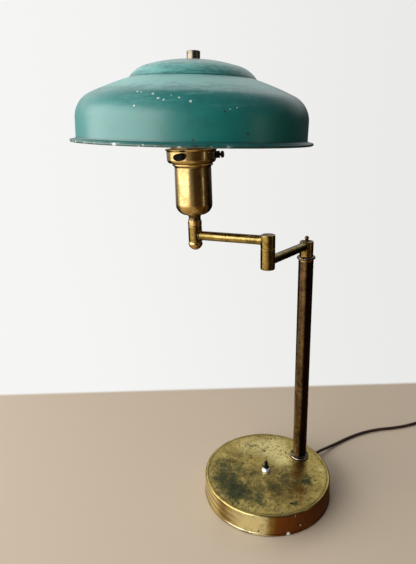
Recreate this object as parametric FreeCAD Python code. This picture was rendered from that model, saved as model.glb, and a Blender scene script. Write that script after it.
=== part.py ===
"""Swing arm desk lamp: a weighted base, a column, two swinging arms and a shaded lampholder.

Millimetres, +Z up.  The origin is the centre of the base's underside, on the table.
Bearings are degrees counter-clockwise from +X, seen from above.
"""
import FreeCAD, Part
import math
import os

Vector = FreeCAD.Vector
UP = Vector(0, 0, 1)

# ---- driving dimensions ----
BASE_RADIUS = 90.0
BASE_HEIGHT = 32.0
SHELL_WALL = 1.2
FELT_THICKNESS = 1.5
WEIGHT_RADIUS = 87.5
WEIGHT_TOP = 20.0

COLUMN_AT = Vector(53.2, 31.7, 0)
COLUMN_RADIUS = 9.9
COLUMN_BORE = 8.7
COLUMN_TOP = 340.0
TOP_RING_TOP = 344.0
PIPE_RADIUS = 5.1
PIPE_BORE = 3.6

RUNNING = 0.05            # radial clearance of a shaft that turns in its bore
FACE_GAP = 0.3            # clearance between faces that turn past each other
SHAFT_RADIUS = 4.5        # every swivel turns on a shaft of this size
LEAD_HOLE = 2.6           # radius of the wiring holes
LEAD_RADIUS = 1.6

HUB_RADIUS = 9.05
HUB_TOP = 364.0
BALL_RADIUS = 2.75
BALL_Z = 368.4

ARM_BORE = 4.3
INNER_ARM_RADIUS = 5.55
INNER_ARM_LENGTH = 94.9
INNER_ARM_BEARING = -129.35
INNER_ARM_Z = 358.3
OUTER_ARM_RADIUS = 5.6
OUTER_ARM_LENGTH = 93.8
OUTER_ARM_BEARING = 154.41
OUTER_ARM_Z = 383.5

KNUCKLE_RADIUS = 8.55
KNUCKLE_BOTTOM = 349.0
KNUCKLE_SEAM = 374.3
KNUCKLE_TOP = 390.4

POST_RADIUS = 8.4
POST_BOTTOM = 376.0
POST_SEAM = 396.0
POST_TOP = 402.2
DOME_NUT_BOTTOM = 365.0

HUSK_BOTTOM = 409.5
HUSK_RADIUS = 22.2
HUSK_TOP = 470.6
SOCKET_RADIUS = 18.3
SOCKET_TOP = 491.0
COLLAR_SHIFT = -1.2       # the fitter sits a little off the socket's axis, along X
COLLAR_RADIUS = 29.0
COLLAR_TOP = 486.5
THUMBSCREW_Z = 479.0
THUMBSCREW_BEARINGS = {"front": -111.7, "right": 8.3, "back": 128.3}
THUMBSCREW_SHANK = 1.75

BULB_RADIUS = 24.0
BULB_CENTRE = 512.0

SHADE_TILT = 2.7          # degrees; the +X side hangs lower
SHADE_SHIFT = 1.0         # where the shade's axis passes the socket's axis, along X
SHADE_PIVOT_Z = 500.0
SHADE_WALL = 1.0
RIM_RADIUS = 138.4
RIM_Z = 494.5
BODY_RADIUS = 131.4
STEP_RADIUS = 71.0
STEP_Z = 562.3
SHADE_TOP = 581.5
FINIAL_RADIUS = 7.5
FINIAL_TOP = 591.0
RING_RADIUS = 25.5        # the carrier ring that stands in the fitter
STUD_RADIUS = 3.0
PLATE_BOTTOM = 576.6
PLATE_TOP = 578.6

SWITCH_AT = Vector(-1.0, -1.0, 0)
SWITCH_PIVOT_Z = 30.6
SWITCH_DOME = 7.5         # radius of the dome that the lever's skirt slides over
SWITCH_TILT = 12.0        # degrees, to either side of upright
BUSHING_RADIUS = 5.0

CORD_DIAMETER = 4.6
CORD_LENGTH = 1800.0
CORD_EXIT_BEARING = 38.0
CORD_EXIT_Z = 7.0
CORD_Z = 2.4              # the cord's middle where it lies on the table
CORD_ROUTE = [
    (72.1, 56.3, 7.0), (93.0, 72.6, 7.0), (109.5, 84.6, 4.2), (128.0, 97.3, CORD_Z),
    (152.0, 112.0, CORD_Z), (180.0, 125.2, CORD_Z), (208.0, 133.2, CORD_Z), (238.0, 136.0, CORD_Z),
    (266.0, 141.6, CORD_Z), (294.0, 149.8, CORD_Z), (319.2, 155.9, CORD_Z),
]
COIL_AT = Vector(324.0, 131.0, 0)
COIL_RADIUS = 26.0        # at the middle of the turns
COIL_SIDE = 14.0          # three cords wide and three high
TAIL_ROUTE = [(354.6, 131.0, CORD_Z), (355.6, 115.0, 3.2), (356.5, 100.0, 5.6), (356.5, 88.0, 5.6)]
PLUG_AT = Vector(356.5, 95.0, 5.6)


# ---- shapes ----
def at(place, z=0.0):
    """The point above or below a place, at height z."""
    return Vector(place.x, place.y, z)


def towards(bearing):
    """The level unit vector along a bearing."""
    angle = math.radians(bearing)
    return Vector(math.cos(angle), math.sin(angle), 0)


def rod(radius, bottom, top, place=Vector(0, 0, 0)):
    """A round bar standing at a place."""
    return Part.makeCylinder(radius, top - bottom, at(place, bottom), UP)


def tube(radius, bore, bottom, top, place=Vector(0, 0, 0)):
    """A round bar with a bore right through."""
    return rod(radius, bottom, top, place).cut(rod(bore, bottom, top, place))


def bar(radius, start, end):
    """A round bar between two points."""
    run = end - start
    return Part.makeCylinder(radius, run.Length, start, run)


def hex_nut(flats, bore, bottom, top, place):
    """A hexagon nut with a plain bore."""
    corner = flats / math.sqrt(3)
    corners = [at(place, bottom) + towards(60 * side) * corner for side in range(7)]
    block = Part.Face(Part.makePolygon(corners)).extrude(Vector(0, 0, top - bottom))
    return block.cut(rod(bore, bottom, top, place))


def turned(start, *steps, place=Vector(0, 0, 0)):
    """A lathe-turned solid. Each step of its (radius, z) outline is a corner, or an arc (middle, end)."""
    edges = []
    here = start
    for step in steps + (start,):
        if isinstance(step[0], tuple):
            middle, end = step
            edges.append(Part.Arc(Vector(here[0], 0, here[1]), Vector(middle[0], 0, middle[1]),
                                  Vector(end[0], 0, end[1])).toShape())
        else:
            end = step
            if end != here:
                edges.append(Part.LineSegment(Vector(here[0], 0, here[1]), Vector(end[0], 0, end[1])).toShape())
        here = end
    solid = Part.Face(Part.Wire(edges)).revolve(Vector(0, 0, 0), UP, 360)
    if solid.Volume < 0:
        solid.reverse()
    solid.translate(place)
    return solid


def dome(edge_radius, edge_z, crown_z):
    """The arc step that runs from an edge to the crown of a round dome on the axis."""
    rise = crown_z - edge_z
    sphere = (edge_radius ** 2 + rise ** 2) / (2 * rise)
    middle = edge_radius / 2
    return (middle, crown_z - sphere + math.copysign(math.sqrt(sphere ** 2 - middle ** 2), sphere)), (0, crown_z)


def softened(solid, radius, *heights):
    """Rounds the circular edges that lie at the given heights."""
    edges = [edge for edge in solid.Edges
             if edge.BoundBox.ZLength < 0.01
             and any(abs(edge.BoundBox.ZMin - height) < 0.01 for height in heights)
             and edge.Closed]
    widest = max(edge.BoundBox.XLength for edge in edges)
    return solid.makeFillet(radius, [edge for edge in edges if edge.BoundBox.XLength > widest - 0.01])


def rounded_path(points):
    """Straight runs joined by tangent arcs as large as the runs allow. Returns the wire and the radii."""
    corners = [Vector(*point) for point in points]
    edges, radii = [], []
    here = corners[0]
    for before, corner, after in zip(corners, corners[1:], corners[2:]):
        back, ahead = (before - corner), (after - corner)
        reach = 0.45 * min(back.Length, ahead.Length)
        back.normalize()
        ahead.normalize()
        half_turn = (math.pi - back.getAngle(ahead)) / 2
        radius = reach / math.tan(half_turn)
        first, last = corner + back * reach, corner + ahead * reach
        inward = back + ahead
        inward.normalize()
        middle = corner + inward * (radius / math.cos(half_turn) - radius)
        edges += [Part.LineSegment(here, first).toShape(), Part.Arc(first, middle, last).toShape()]
        radii.append(radius)
        here = last
    edges.append(Part.LineSegment(here, corners[-1]).toShape())
    return Part.Wire(edges), radii


def round_wire(points, diameter):
    """A round wire or cord along a rounded path. Returns the solid, its length and its bend radii."""
    path, radii = rounded_path(points)
    start, heading = Vector(*points[0]), Vector(*points[1]) - Vector(*points[0])
    section = Part.Wire(Part.makeCircle(diameter / 2, start, heading))
    solid = path.makePipeShell([section], True, False)
    drawn = math.pi * diameter ** 2 / 4 * path.Length
    assert abs(solid.Volume - drawn) < 0.01 * drawn, (solid.Volume, drawn)
    return solid, path.Length, radii


def wire_window(place, bearing, z):
    """The block that opens one half of a hollow shaft's wall, so that wires can turn with an arm."""
    block = Part.makeBox(2 * LEAD_HOLE, 4 * LEAD_HOLE, 2 * LEAD_HOLE, Vector(0, -2 * LEAD_HOLE, -LEAD_HOLE))
    block.rotate(Vector(0, 0, 0), UP, bearing)
    block.translate(at(place, z))
    return block


def leaned(solid):
    """Leans a piece that stands on the socket's axis to where the crooked shade really sits."""
    pivot = at(HEAD_AT, SHADE_PIVOT_Z)
    solid.rotate(pivot, Vector(0, 1, 0), SHADE_TILT)
    solid.translate(Vector(SHADE_SHIFT, 0, 0))
    return solid


# ---- places worked out from the driving dimensions ----
KNUCKLE_AT = COLUMN_AT + towards(INNER_ARM_BEARING) * INNER_ARM_LENGTH
HEAD_AT = KNUCKLE_AT + towards(OUTER_ARM_BEARING) * OUTER_ARM_LENGTH
COLLAR_AT = HEAD_AT + Vector(COLLAR_SHIFT, 0, 0)
FLOOR_OF_SHELL = 0.8
UNDER_PLATE = BASE_HEIGHT - SHELL_WALL


# ---- base ----
def base_parts():
    """The spun cup, its cast weight, the felt under it and the hardware that clamps the column."""
    exit_way = towards(CORD_EXIT_BEARING)
    exit_axis = Vector(0, 0, CORD_EXIT_Z)
    wall, top, low = SHELL_WALL, BASE_HEIGHT, FLOOR_OF_SHELL

    shell = turned((BASE_RADIUS, low), ((BASE_RADIUS + 0.35, low + 1.4), (BASE_RADIUS - 0.3, low + 3.2)),
                   (BASE_RADIUS - 0.6, top - 2.6), ((BASE_RADIUS - 1.3, top - 0.75), (BASE_RADIUS - 3.0, top)),
                   ((BASE_RADIUS - 3.7, top - 0.5), (BASE_RADIUS - 4.4, top - 0.35)), (0, top - 0.35),
                   (0, top - wall), (BASE_RADIUS - 3.2, top - wall), (BASE_RADIUS - 1.8, top - 2.8),
                   (BASE_RADIUS - 1.5, low + 3.2), (BASE_RADIUS - wall, low))
    for radius, place in ((PIPE_RADIUS, COLUMN_AT), (BUSHING_RADIUS, SWITCH_AT)):
        shell = shell.cut(rod(radius, UNDER_PLATE - 1, top + 1, place))
    shell = shell.cut(bar(3.8, exit_axis + exit_way * (BASE_RADIUS - 5), exit_axis + exit_way * (BASE_RADIUS + 5)))

    weight = rod(WEIGHT_RADIUS, FELT_THICKNESS, WEIGHT_TOP).fuse(rod(15, WEIGHT_TOP, UNDER_PLATE, COLUMN_AT))
    slot = Part.makeBox(WEIGHT_RADIUS + 5, 15, UNDER_PLATE, Vector(0, -7.5, FELT_THICKNESS))
    slot.rotate(Vector(0, 0, 0), UP, CORD_EXIT_BEARING)
    weight = weight.cut(slot.cut(rod(11, 0, UNDER_PLATE + 2, COLUMN_AT)))
    weight = weight.cut(rod(17, FELT_THICKNESS + 1.5, UNDER_PLATE, SWITCH_AT))
    weight = weight.cut(rod(PIPE_RADIUS, 0, UNDER_PLATE, COLUMN_AT))
    weight = weight.cut(rod(13, FELT_THICKNESS, 10, COLUMN_AT))

    top_of_shell = top - 0.35
    foot = turned((COLUMN_RADIUS, top_of_shell), (12.6, top_of_shell),
                  ((14.0, top_of_shell + 1.6), (12.8, top_of_shell + 3.2)),
                  ((11.2, top_of_shell + 3.7), (COLUMN_RADIUS, top_of_shell + 4.0)), place=COLUMN_AT)
    return {
        "base_shell": shell,
        "base_weight": weight,
        "base_felt": rod(86, 0, FELT_THICKNESS),
        "column_foot_ring": foot,
        "threaded_pipe": tube(PIPE_RADIUS, PIPE_BORE, 2.5, 338, COLUMN_AT),
        "pipe_washer": tube(12.5, PIPE_RADIUS, 8.8, 10, COLUMN_AT),
        "pipe_nut": hex_nut(18, PIPE_RADIUS, 3.3, 8.8, COLUMN_AT),
        "column_tube": tube(COLUMN_RADIUS, COLUMN_BORE, top_of_shell, COLUMN_TOP, COLUMN_AT),
    }


def spindle_parts():
    """The column's top ring, the spindle that the inner arm turns on, and the ball nut that keeps it."""
    collar = 6.0
    mid = (COLUMN_TOP + TOP_RING_TOP) / 2
    ring = turned((collar, COLUMN_TOP), (10.8, COLUMN_TOP), ((12.25, mid), (10.6, TOP_RING_TOP)),
                  (collar, TOP_RING_TOP), place=COLUMN_AT)
    spindle = rod(COLUMN_BORE, 330, COLUMN_TOP, COLUMN_AT)
    for radius, bottom, top in ((collar, COLUMN_TOP, TOP_RING_TOP), (SHAFT_RADIUS, TOP_RING_TOP, 360.3),
                                (1.4, 360.3, 367)):
        spindle = spindle.fuse(rod(radius, bottom, top, COLUMN_AT))
    spindle = spindle.cut(rod(PIPE_RADIUS, 330, 338, COLUMN_AT)).cut(rod(LEAD_HOLE, 338, 358, COLUMN_AT))
    spindle = spindle.cut(wire_window(COLUMN_AT, INNER_ARM_BEARING, 355))
    throat = 1.9
    ball_foot = BALL_Z - math.sqrt(BALL_RADIUS ** 2 - throat ** 2)
    ball = turned((1.4, HUB_TOP + FACE_GAP), (3.4, HUB_TOP + FACE_GAP), (3.0, HUB_TOP + 0.9),
                  (throat, ball_foot), dome(throat, ball_foot, BALL_Z + BALL_RADIUS), (0, 367.0), (1.4, 367.0),
                  place=COLUMN_AT)
    return {"column_top_ring": ring, "swivel_spindle": spindle.removeSplitter(), "ball_nut": ball}


def switch_parts():
    """The switch under the base's plate, its bushing and dome nut, and the lever that tips through them."""
    low = SWITCH_PIVOT_Z
    plate = BASE_HEIGHT - 0.35
    dome_edge = math.sqrt(SWITCH_DOME ** 2 - 6.4 ** 2)
    crown = math.sqrt(SWITCH_DOME ** 2 - 3.3 ** 2)
    shoulder = math.sqrt(SWITCH_DOME ** 2 - 5.0 ** 2)
    nut = turned((BUSHING_RADIUS, plate), (6.6, plate), (6.4, low + dome_edge),
                 ((5.0, low + shoulder), (3.3, low + crown)), (3.3, 35.6), (BUSHING_RADIUS, 35.2), place=SWITCH_AT)
    pin_line = Vector(1, 0, 0)
    pin_middle = at(SWITCH_AT, low)
    pin_reach = 4.6
    bushing = tube(BUSHING_RADIUS, 3.5, 24, 35.2, SWITCH_AT)
    bushing = bushing.cut(bar(0.8 + RUNNING, pin_middle - pin_line * 6, pin_middle + pin_line * 6))

    skirt = SWITCH_DOME + FACE_GAP
    rim = math.sqrt(skirt ** 2 - 4.4 ** 2)
    under = math.sqrt(skirt ** 2 - 2.4 ** 2)
    knob, knob_z = 2.65, low + 13.0
    knob_foot = knob_z - math.sqrt(knob ** 2 - 1.9 ** 2)
    lever = turned((0, 26.6), (1.3, 26.6), (1.3, low + skirt - 0.15), (2.4 - 1.0, low + skirt - 0.12),
                   ((2.9, low + math.sqrt(skirt ** 2 - 2.9 ** 2)), (4.4, low + rim)), (4.3, low + rim + 0.9),
                   ((3.1, low + under + 1.3), (1.9, low + 9.9)), (1.9, knob_foot),
                   dome(1.9, knob_foot, knob_z + knob), place=SWITCH_AT)
    lever = lever.fuse(bar(0.8, pin_middle - pin_line * pin_reach, pin_middle + pin_line * pin_reach))
    lever.rotate(pin_middle, Vector(1, 0, 0), -SWITCH_TILT)
    return {
        "switch_housing": softened(rod(11, 7, 24, SWITCH_AT), 1.0, 7.0),
        "switch_bushing": bushing,
        "switch_locknut": hex_nut(15, BUSHING_RADIUS, 28.4, UNDER_PLATE, SWITCH_AT),
        "switch_dome_nut": nut,
        "switch_lever": lever,
    }


# ---- arms ----
def arm_tube(radius, start, start_radius, end, end_radius, z):
    """A tube between two upright barrels, its ends saddled to them."""
    body = bar(radius, at(start, z), at(end, z)).cut(bar(ARM_BORE, at(start, z), at(end, z)))
    for place, barrel in ((start, start_radius), (end, end_radius)):
        body = body.cut(rod(barrel, z - 20, z + 20, place))
    return body


def lead_between(start, end, z, clear):
    """The twin wire that lies in an arm, as one round lead."""
    along = end - start
    along.normalize()
    return bar(LEAD_RADIUS, at(start, z) + along * clear, at(end, z) - along * clear)


def barrel_with_hole(barrel, place, bearing, z):
    """Opens a barrel's wall towards its arm for the wires."""
    return barrel.cut(bar(LEAD_HOLE, at(place, z), at(place, z) + towards(bearing) * 20))


def inner_arm_parts():
    """The hub on the column, the lower arm, and the lower half of the knuckle with its hollow pin."""
    bottom = TOP_RING_TOP + FACE_GAP
    hub = softened(rod(HUB_RADIUS, bottom, HUB_TOP, COLUMN_AT), 1.1, HUB_TOP)
    hub = hub.cut(rod(SHAFT_RADIUS + RUNNING, bottom, 360.6, COLUMN_AT)).cut(rod(2.3, 360, HUB_TOP, COLUMN_AT))
    hub = barrel_with_hole(hub, COLUMN_AT, INNER_ARM_BEARING, INNER_ARM_Z - 2.5)

    seam = KNUCKLE_SEAM - FACE_GAP / 2
    barrel = softened(rod(KNUCKLE_RADIUS, KNUCKLE_BOTTOM, seam, KNUCKLE_AT), 1.2, KNUCKLE_BOTTOM)
    barrel = softened(barrel, 0.35, seam)
    barrel = barrel.cut(rod(SHAFT_RADIUS, KNUCKLE_BOTTOM + 3, seam, KNUCKLE_AT))
    barrel = barrel_with_hole(barrel, KNUCKLE_AT, INNER_ARM_BEARING + 180, INNER_ARM_Z)
    pin = rod(SHAFT_RADIUS, KNUCKLE_BOTTOM + 3, 386, KNUCKLE_AT).fuse(rod(6.2, 386, 387.5, KNUCKLE_AT))
    pin = pin.cut(rod(LEAD_HOLE, KNUCKLE_BOTTOM + 3, 387.5, KNUCKLE_AT))
    pin = barrel_with_hole(pin, KNUCKLE_AT, INNER_ARM_BEARING + 180, INNER_ARM_Z)
    pin = pin.cut(wire_window(KNUCKLE_AT, OUTER_ARM_BEARING, OUTER_ARM_Z - 0.5))
    return {
        "hub_barrel": hub,
        "inner_arm_tube": arm_tube(INNER_ARM_RADIUS, COLUMN_AT, HUB_RADIUS, KNUCKLE_AT, KNUCKLE_RADIUS, INNER_ARM_Z),
        "knuckle_lower_barrel": barrel,
        "knuckle_pin": pin.removeSplitter(),
        "inner_arm_lead": lead_between(COLUMN_AT, KNUCKLE_AT, INNER_ARM_Z, 10.5),
    }


def outer_arm_parts():
    """The upper half of the knuckle, the upper arm, and the barrel that the lampholder turns in."""
    bottom = KNUCKLE_SEAM + FACE_GAP / 2
    barrel = softened(rod(KNUCKLE_RADIUS, bottom, KNUCKLE_TOP, KNUCKLE_AT), 1.0, KNUCKLE_TOP)
    barrel = softened(barrel, 0.35, bottom)
    barrel = barrel.cut(rod(SHAFT_RADIUS + RUNNING, bottom, 386, KNUCKLE_AT))
    barrel = barrel.cut(rod(6.6, 385.7, KNUCKLE_TOP, KNUCKLE_AT))
    barrel = barrel_with_hole(barrel, KNUCKLE_AT, OUTER_ARM_BEARING, OUTER_ARM_Z - 0.5)
    cap = turned((0, 388.6), (6.6, 388.6), (6.6, KNUCKLE_TOP - 0.35),
                 dome(6.6, KNUCKLE_TOP - 0.35, KNUCKLE_TOP + 0.35), place=KNUCKLE_AT)

    post = softened(rod(POST_RADIUS, POST_BOTTOM, POST_SEAM - FACE_GAP / 2, HEAD_AT), 0.35, POST_SEAM - FACE_GAP / 2)
    post = post.cut(rod(SHAFT_RADIUS + RUNNING, POST_BOTTOM, POST_SEAM, HEAD_AT))
    post = barrel_with_hole(post, HEAD_AT, OUTER_ARM_BEARING + 180, OUTER_ARM_Z)
    screw_line = towards(-130)
    screw_axis = at(HEAD_AT, POST_SEAM - 2.2)
    screw = bar(1.2, screw_axis + screw_line * (SHAFT_RADIUS + 0.5), screw_axis + screw_line * (POST_RADIUS - 0.3))
    post = post.cut(bar(1.2, screw_axis + screw_line * SHAFT_RADIUS, screw_axis + screw_line * 12))
    return {
        "knuckle_upper_barrel": barrel,
        "knuckle_cap": cap,
        "outer_arm_tube": arm_tube(OUTER_ARM_RADIUS, KNUCKLE_AT, KNUCKLE_RADIUS, HEAD_AT, POST_RADIUS, OUTER_ARM_Z),
        "post_barrel": post,
        "post_set_screw": screw,
        "outer_arm_lead": lead_between(KNUCKLE_AT, HEAD_AT, OUTER_ARM_Z, 10.0),
    }


# ---- lampholder ----
def stem_parts():
    """The hollow stem that turns in the post, with what is threaded on it from the dome nut upwards."""
    nut_top = POST_BOTTOM - FACE_GAP
    stem = tube(SHAFT_RADIUS, 3.0, 369.5, 414, HEAD_AT)
    stem = stem.cut(wire_window(HEAD_AT, OUTER_ARM_BEARING + 180, OUTER_ARM_Z))
    nut = turned((0, 369.5), (SHAFT_RADIUS, 369.5), (SHAFT_RADIUS, nut_top), (7.9, nut_top),
                 ((8.75, 373.6), (8.5, 371.6)), dome(8.5, 371.6, DOME_NUT_BOTTOM), place=HEAD_AT)
    seam = POST_SEAM + FACE_GAP / 2
    collar = softened(tube(POST_RADIUS, SHAFT_RADIUS, seam, POST_TOP, HEAD_AT), 0.4, seam, POST_TOP)
    neck = turned((SHAFT_RADIUS, POST_TOP), (8.0, POST_TOP), ((7.3, 405.5), (8.6, HUSK_BOTTOM)),
                  (SHAFT_RADIUS, HUSK_BOTTOM), place=HEAD_AT)
    return {
        "head_stem": stem,
        "dome_nut": nut,
        "post_collar": collar,
        "neck_ring": neck,
        "stem_locknut": hex_nut(15, SHAFT_RADIUS, HUSK_BOTTOM + 1, 414, HEAD_AT),
    }


def socket_parts():
    """The brass husk, the screw socket inside it and the lamp bulb."""
    husk = turned((SHAFT_RADIUS, HUSK_BOTTOM), (9.0, HUSK_BOTTOM), ((18.6, 413.4), (HUSK_RADIUS, 423.5)),
                  (21.8, 465.2), ((22.3, 466.8), (23.3, 467.4)), ((24.1, 468.9), (23.2, 470.4)), (21.0, HUSK_TOP),
                  (20.9, 465.4), (HUSK_RADIUS - 1, 423.5), ((17.8, 414.3), (9.0, HUSK_BOTTOM + 1)),
                  (SHAFT_RADIUS, HUSK_BOTTOM + 1), place=HEAD_AT)
    neck = 12.6
    joint = BULB_CENTRE - math.sqrt(BULB_RADIUS ** 2 - 19.0 ** 2)
    thin = 0.8
    glass = turned((neck, 465), (neck, 483), ((14.2, 491.5), (19.0, joint)),
                   ((BULB_RADIUS, BULB_CENTRE), (0, BULB_CENTRE + BULB_RADIUS)),
                   (0, BULB_CENTRE + BULB_RADIUS - thin),
                   ((BULB_RADIUS - thin, BULB_CENTRE), (19.0 - thin, joint + 0.4)),
                   ((13.4, 491.9), (neck - thin, 483.2)), (neck - thin, 465), place=HEAD_AT)
    cap = turned((0, 442.6), (3.6, 442.6), (4.6, 444.6), (10.6, 448.4), (13.0, 449.2), (13.0, 473), (neck, 473),
                 (neck, 450), (0, 450), place=HEAD_AT)
    return {
        "socket_husk": husk,
        "socket_sleeve": tube(SOCKET_RADIUS, 17.1, 424, SOCKET_TOP, HEAD_AT),
        "socket_insulator": rod(17.1, 424, 441, HEAD_AT),
        "socket_screw_shell": tube(13.9, 13.3, 441, 482, HEAD_AT),
        "socket_contact": rod(4.2, 441, 442.6, HEAD_AT),
        "bulb_cap": cap,
        "bulb_glass": glass,
    }


def collar_parts():
    """The shade fitter on top of the husk and the ring nut that clamps it to the socket."""
    fitter = turned((19.9, HUSK_TOP), (24.5, HUSK_TOP), ((27.8, 471.9), (COLLAR_RADIUS, 475.4)),
                    (COLLAR_RADIUS + 0.3, 484.4), (30.7, 486.3), (30.3, 487.0), (COLLAR_RADIUS - 0.7, 485.0),
                    (COLLAR_RADIUS - 1, 475.6), ((27.0, 472.7), (24.4, HUSK_TOP + 1)), (19.9, HUSK_TOP + 1),
                    place=COLLAR_AT)
    for bearing in THUMBSCREW_BEARINGS.values():
        start = at(COLLAR_AT, THUMBSCREW_Z) + towards(bearing) * 20
        fitter = fitter.cut(bar(THUMBSCREW_SHANK + RUNNING, start, start + towards(bearing) * 20))
    nut = tube(22.8, SOCKET_RADIUS, HUSK_TOP + 1, HUSK_TOP + 3.8, HEAD_AT)
    return {"fitter_collar": fitter, "fitter_ring_nut": nut}


def thumbscrew(bearing):
    """One oval-headed thumbscrew, its tip just short of the carrier ring."""
    out = towards(bearing)
    offset = Vector(SHADE_SHIFT - COLLAR_SHIFT - math.radians(SHADE_TILT) * (SHADE_PIVOT_Z - THUMBSCREW_Z), 0, 0)
    across = abs(offset.x * out.y)
    tip = offset.dot(out) + math.sqrt(RING_RADIUS ** 2 - across ** 2) + 0.45
    axis = at(COLLAR_AT, THUMBSCREW_Z)
    seat = COLLAR_RADIUS + 0.65
    shank = bar(THUMBSCREW_SHANK, axis + out * tip, axis + out * (seat + 0.5))
    shoulder = bar(4.2, axis + out * seat, axis + out * (seat + 4.0))
    neck = bar(1.6, axis + out * (seat + 4.0), axis + out * (seat + 6.0))
    oval = Part.Ellipse(Vector(0, 0, 0), 6.3, 4.0).toShape()
    head = Part.Face(Part.Wire(oval)).extrude(Vector(0, 0, 2.6))
    head = head.makeFillet(0.7, [edge for edge in head.Edges if edge.Closed])
    head.rotate(Vector(0, 0, 0), Vector(0, 0, 1), 90)
    head.rotate(Vector(0, 0, 0), Vector(0, 1, 0), 90)
    head.rotate(Vector(0, 0, 0), UP, bearing)
    head.translate(axis + out * (seat + 6.0))
    return shank.fuse(shoulder).fuse(neck).fuse(head).removeSplitter()


# ---- shade ----
def shade_outline(inset):
    """The shade's outline from its crown to its skirt, moved inwards by the wall's thickness."""
    w = inset
    crown = [(3.6, SHADE_TOP - w), ((25.0, 580.3 - w), (50.0, 575.2 - 1.03 * w)),
             ((62.5, 570.3 - 1.1 * w), (STEP_RADIUS - 0.9 * w, STEP_Z - 0.6 * w))]
    shoulder = [(STEP_RADIUS - 0.9 * w + 0.6, STEP_Z - 1.2 - w),
                ((93.5 - 0.3 * w, 553.4 - w), (114.6 - 0.5 * w, 544.3 - 0.9 * w)),
                ((124.5 - 0.8 * w, 536.6 - 0.65 * w), (BODY_RADIUS - w, 518.0))]
    return crown + shoulder


def shade_parts():
    """The spun shade: a stepped crown, a deep round shoulder and a flanged, rolled rim."""
    outer = shade_outline(0.0)
    inner = shade_outline(SHADE_WALL)
    flange_z = RIM_Z + 2.4
    skirt = [(BODY_RADIUS + 0.2, flange_z + 1.6), ((BODY_RADIUS + 0.7, flange_z + 0.5), (BODY_RADIUS + 2.0, flange_z)),
             (RIM_RADIUS - 1.5, RIM_Z + 1.7), ((RIM_RADIUS, RIM_Z + 0.2), (RIM_RADIUS - 1.5, RIM_Z - 1.3)),
             ((RIM_RADIUS - 2.6, RIM_Z - 0.8), (RIM_RADIUS - 3.0, RIM_Z + 0.4)), (BODY_RADIUS + 1.0, flange_z - 1.2),
             (BODY_RADIUS - 0.8, flange_z + 0.6)]
    back = reversed_outline(inner)
    shell = turned(outer[0], *outer[1:], *skirt, *back)
    return {"shade_shell": leaned_from_axis(shell)}


def reversed_outline(steps):
    """The same outline walked the other way, ending at its first point."""
    corners = [step[1] if isinstance(step[0], tuple) else step for step in steps]
    walked = [corners[-1]]
    for index in range(len(steps) - 1, 0, -1):
        step = steps[index]
        walked.append((step[0], corners[index - 1]) if isinstance(step[0], tuple) else corners[index - 1])
    return walked


def leaned_from_axis(solid):
    """Moves a piece turned about the origin's axis to the socket's axis, then leans it."""
    solid.translate(HEAD_AT)
    return leaned(solid)


def carrier_parts():
    """What carries the shade: a ring held by the thumbscrews, three bent wires, a plate and a stud."""
    top = 490.5
    ring = turned((RING_RADIUS - 1.2, 475.4), (RING_RADIUS, 475.4), (RING_RADIUS, top), (21.6, top), (21.6, top - 1.5),
                  (RING_RADIUS - 1.2, top - 1.5))
    parts = {"carrier_ring": leaned_from_axis(ring)}
    profile = [(23.5, top), (23.5, 494.5), (33.0, 505.0), (33.0, 548.0), (11.0, 567.5), (11.0, PLATE_BOTTOM)]
    for number, screw_bearing in enumerate(THUMBSCREW_BEARINGS.values(), start=1):
        out = towards(screw_bearing + 60)
        points = [(out.x * radius, out.y * radius, z) for radius, z in profile]
        wire, _, _ = round_wire(points, 3.0)
        parts[f"carrier_wire_{number}"] = leaned_from_axis(wire)
    parts["carrier_plate"] = leaned_from_axis(tube(15, STUD_RADIUS, PLATE_BOTTOM, PLATE_TOP))
    bolt = hex_nut(10, STUD_RADIUS, PLATE_BOTTOM - 2.5, PLATE_BOTTOM, Vector(0, 0, 0))
    bolt = bolt.fuse(rod(STUD_RADIUS, PLATE_BOTTOM - 2.5, FINIAL_TOP - 3)).removeSplitter()
    parts["carrier_stud"] = leaned_from_axis(bolt)
    parts["seat_washer"] = leaned_from_axis(tube(13, STUD_RADIUS, PLATE_TOP, PLATE_TOP + 0.9))
    return parts


def finial():
    """The plain round nut on top of the shade."""
    bottom = SHADE_TOP + 0.4
    body = softened(rod(FINIAL_RADIUS, bottom, FINIAL_TOP), 0.5, FINIAL_TOP)
    return leaned_from_axis(body.cut(rod(STUD_RADIUS + RUNNING, bottom, FINIAL_TOP - 2.5)))


# ---- wiring and mains cord ----
def inner_lead_parts():
    """The leads inside the base and up the column."""
    way, aside = towards(CORD_EXIT_BEARING), towards(CORD_EXIT_BEARING + 90)
    route = [way * reach + aside * off + Vector(0, 0, z)
             for reach, off, z in ((83.2, 0, 7), (77, 2.0, 7), (69, 5.2, 7), (52, 5.4, 7.5), (34, 3.0, 8), (13, 0.5, 8.5))]
    run, _, _ = round_wire(route, 2 * LEAD_RADIUS)
    return {"base_leads": Part.makeCompound([run, rod(LEAD_RADIUS, 12, 352, COLUMN_AT)])}


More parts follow.
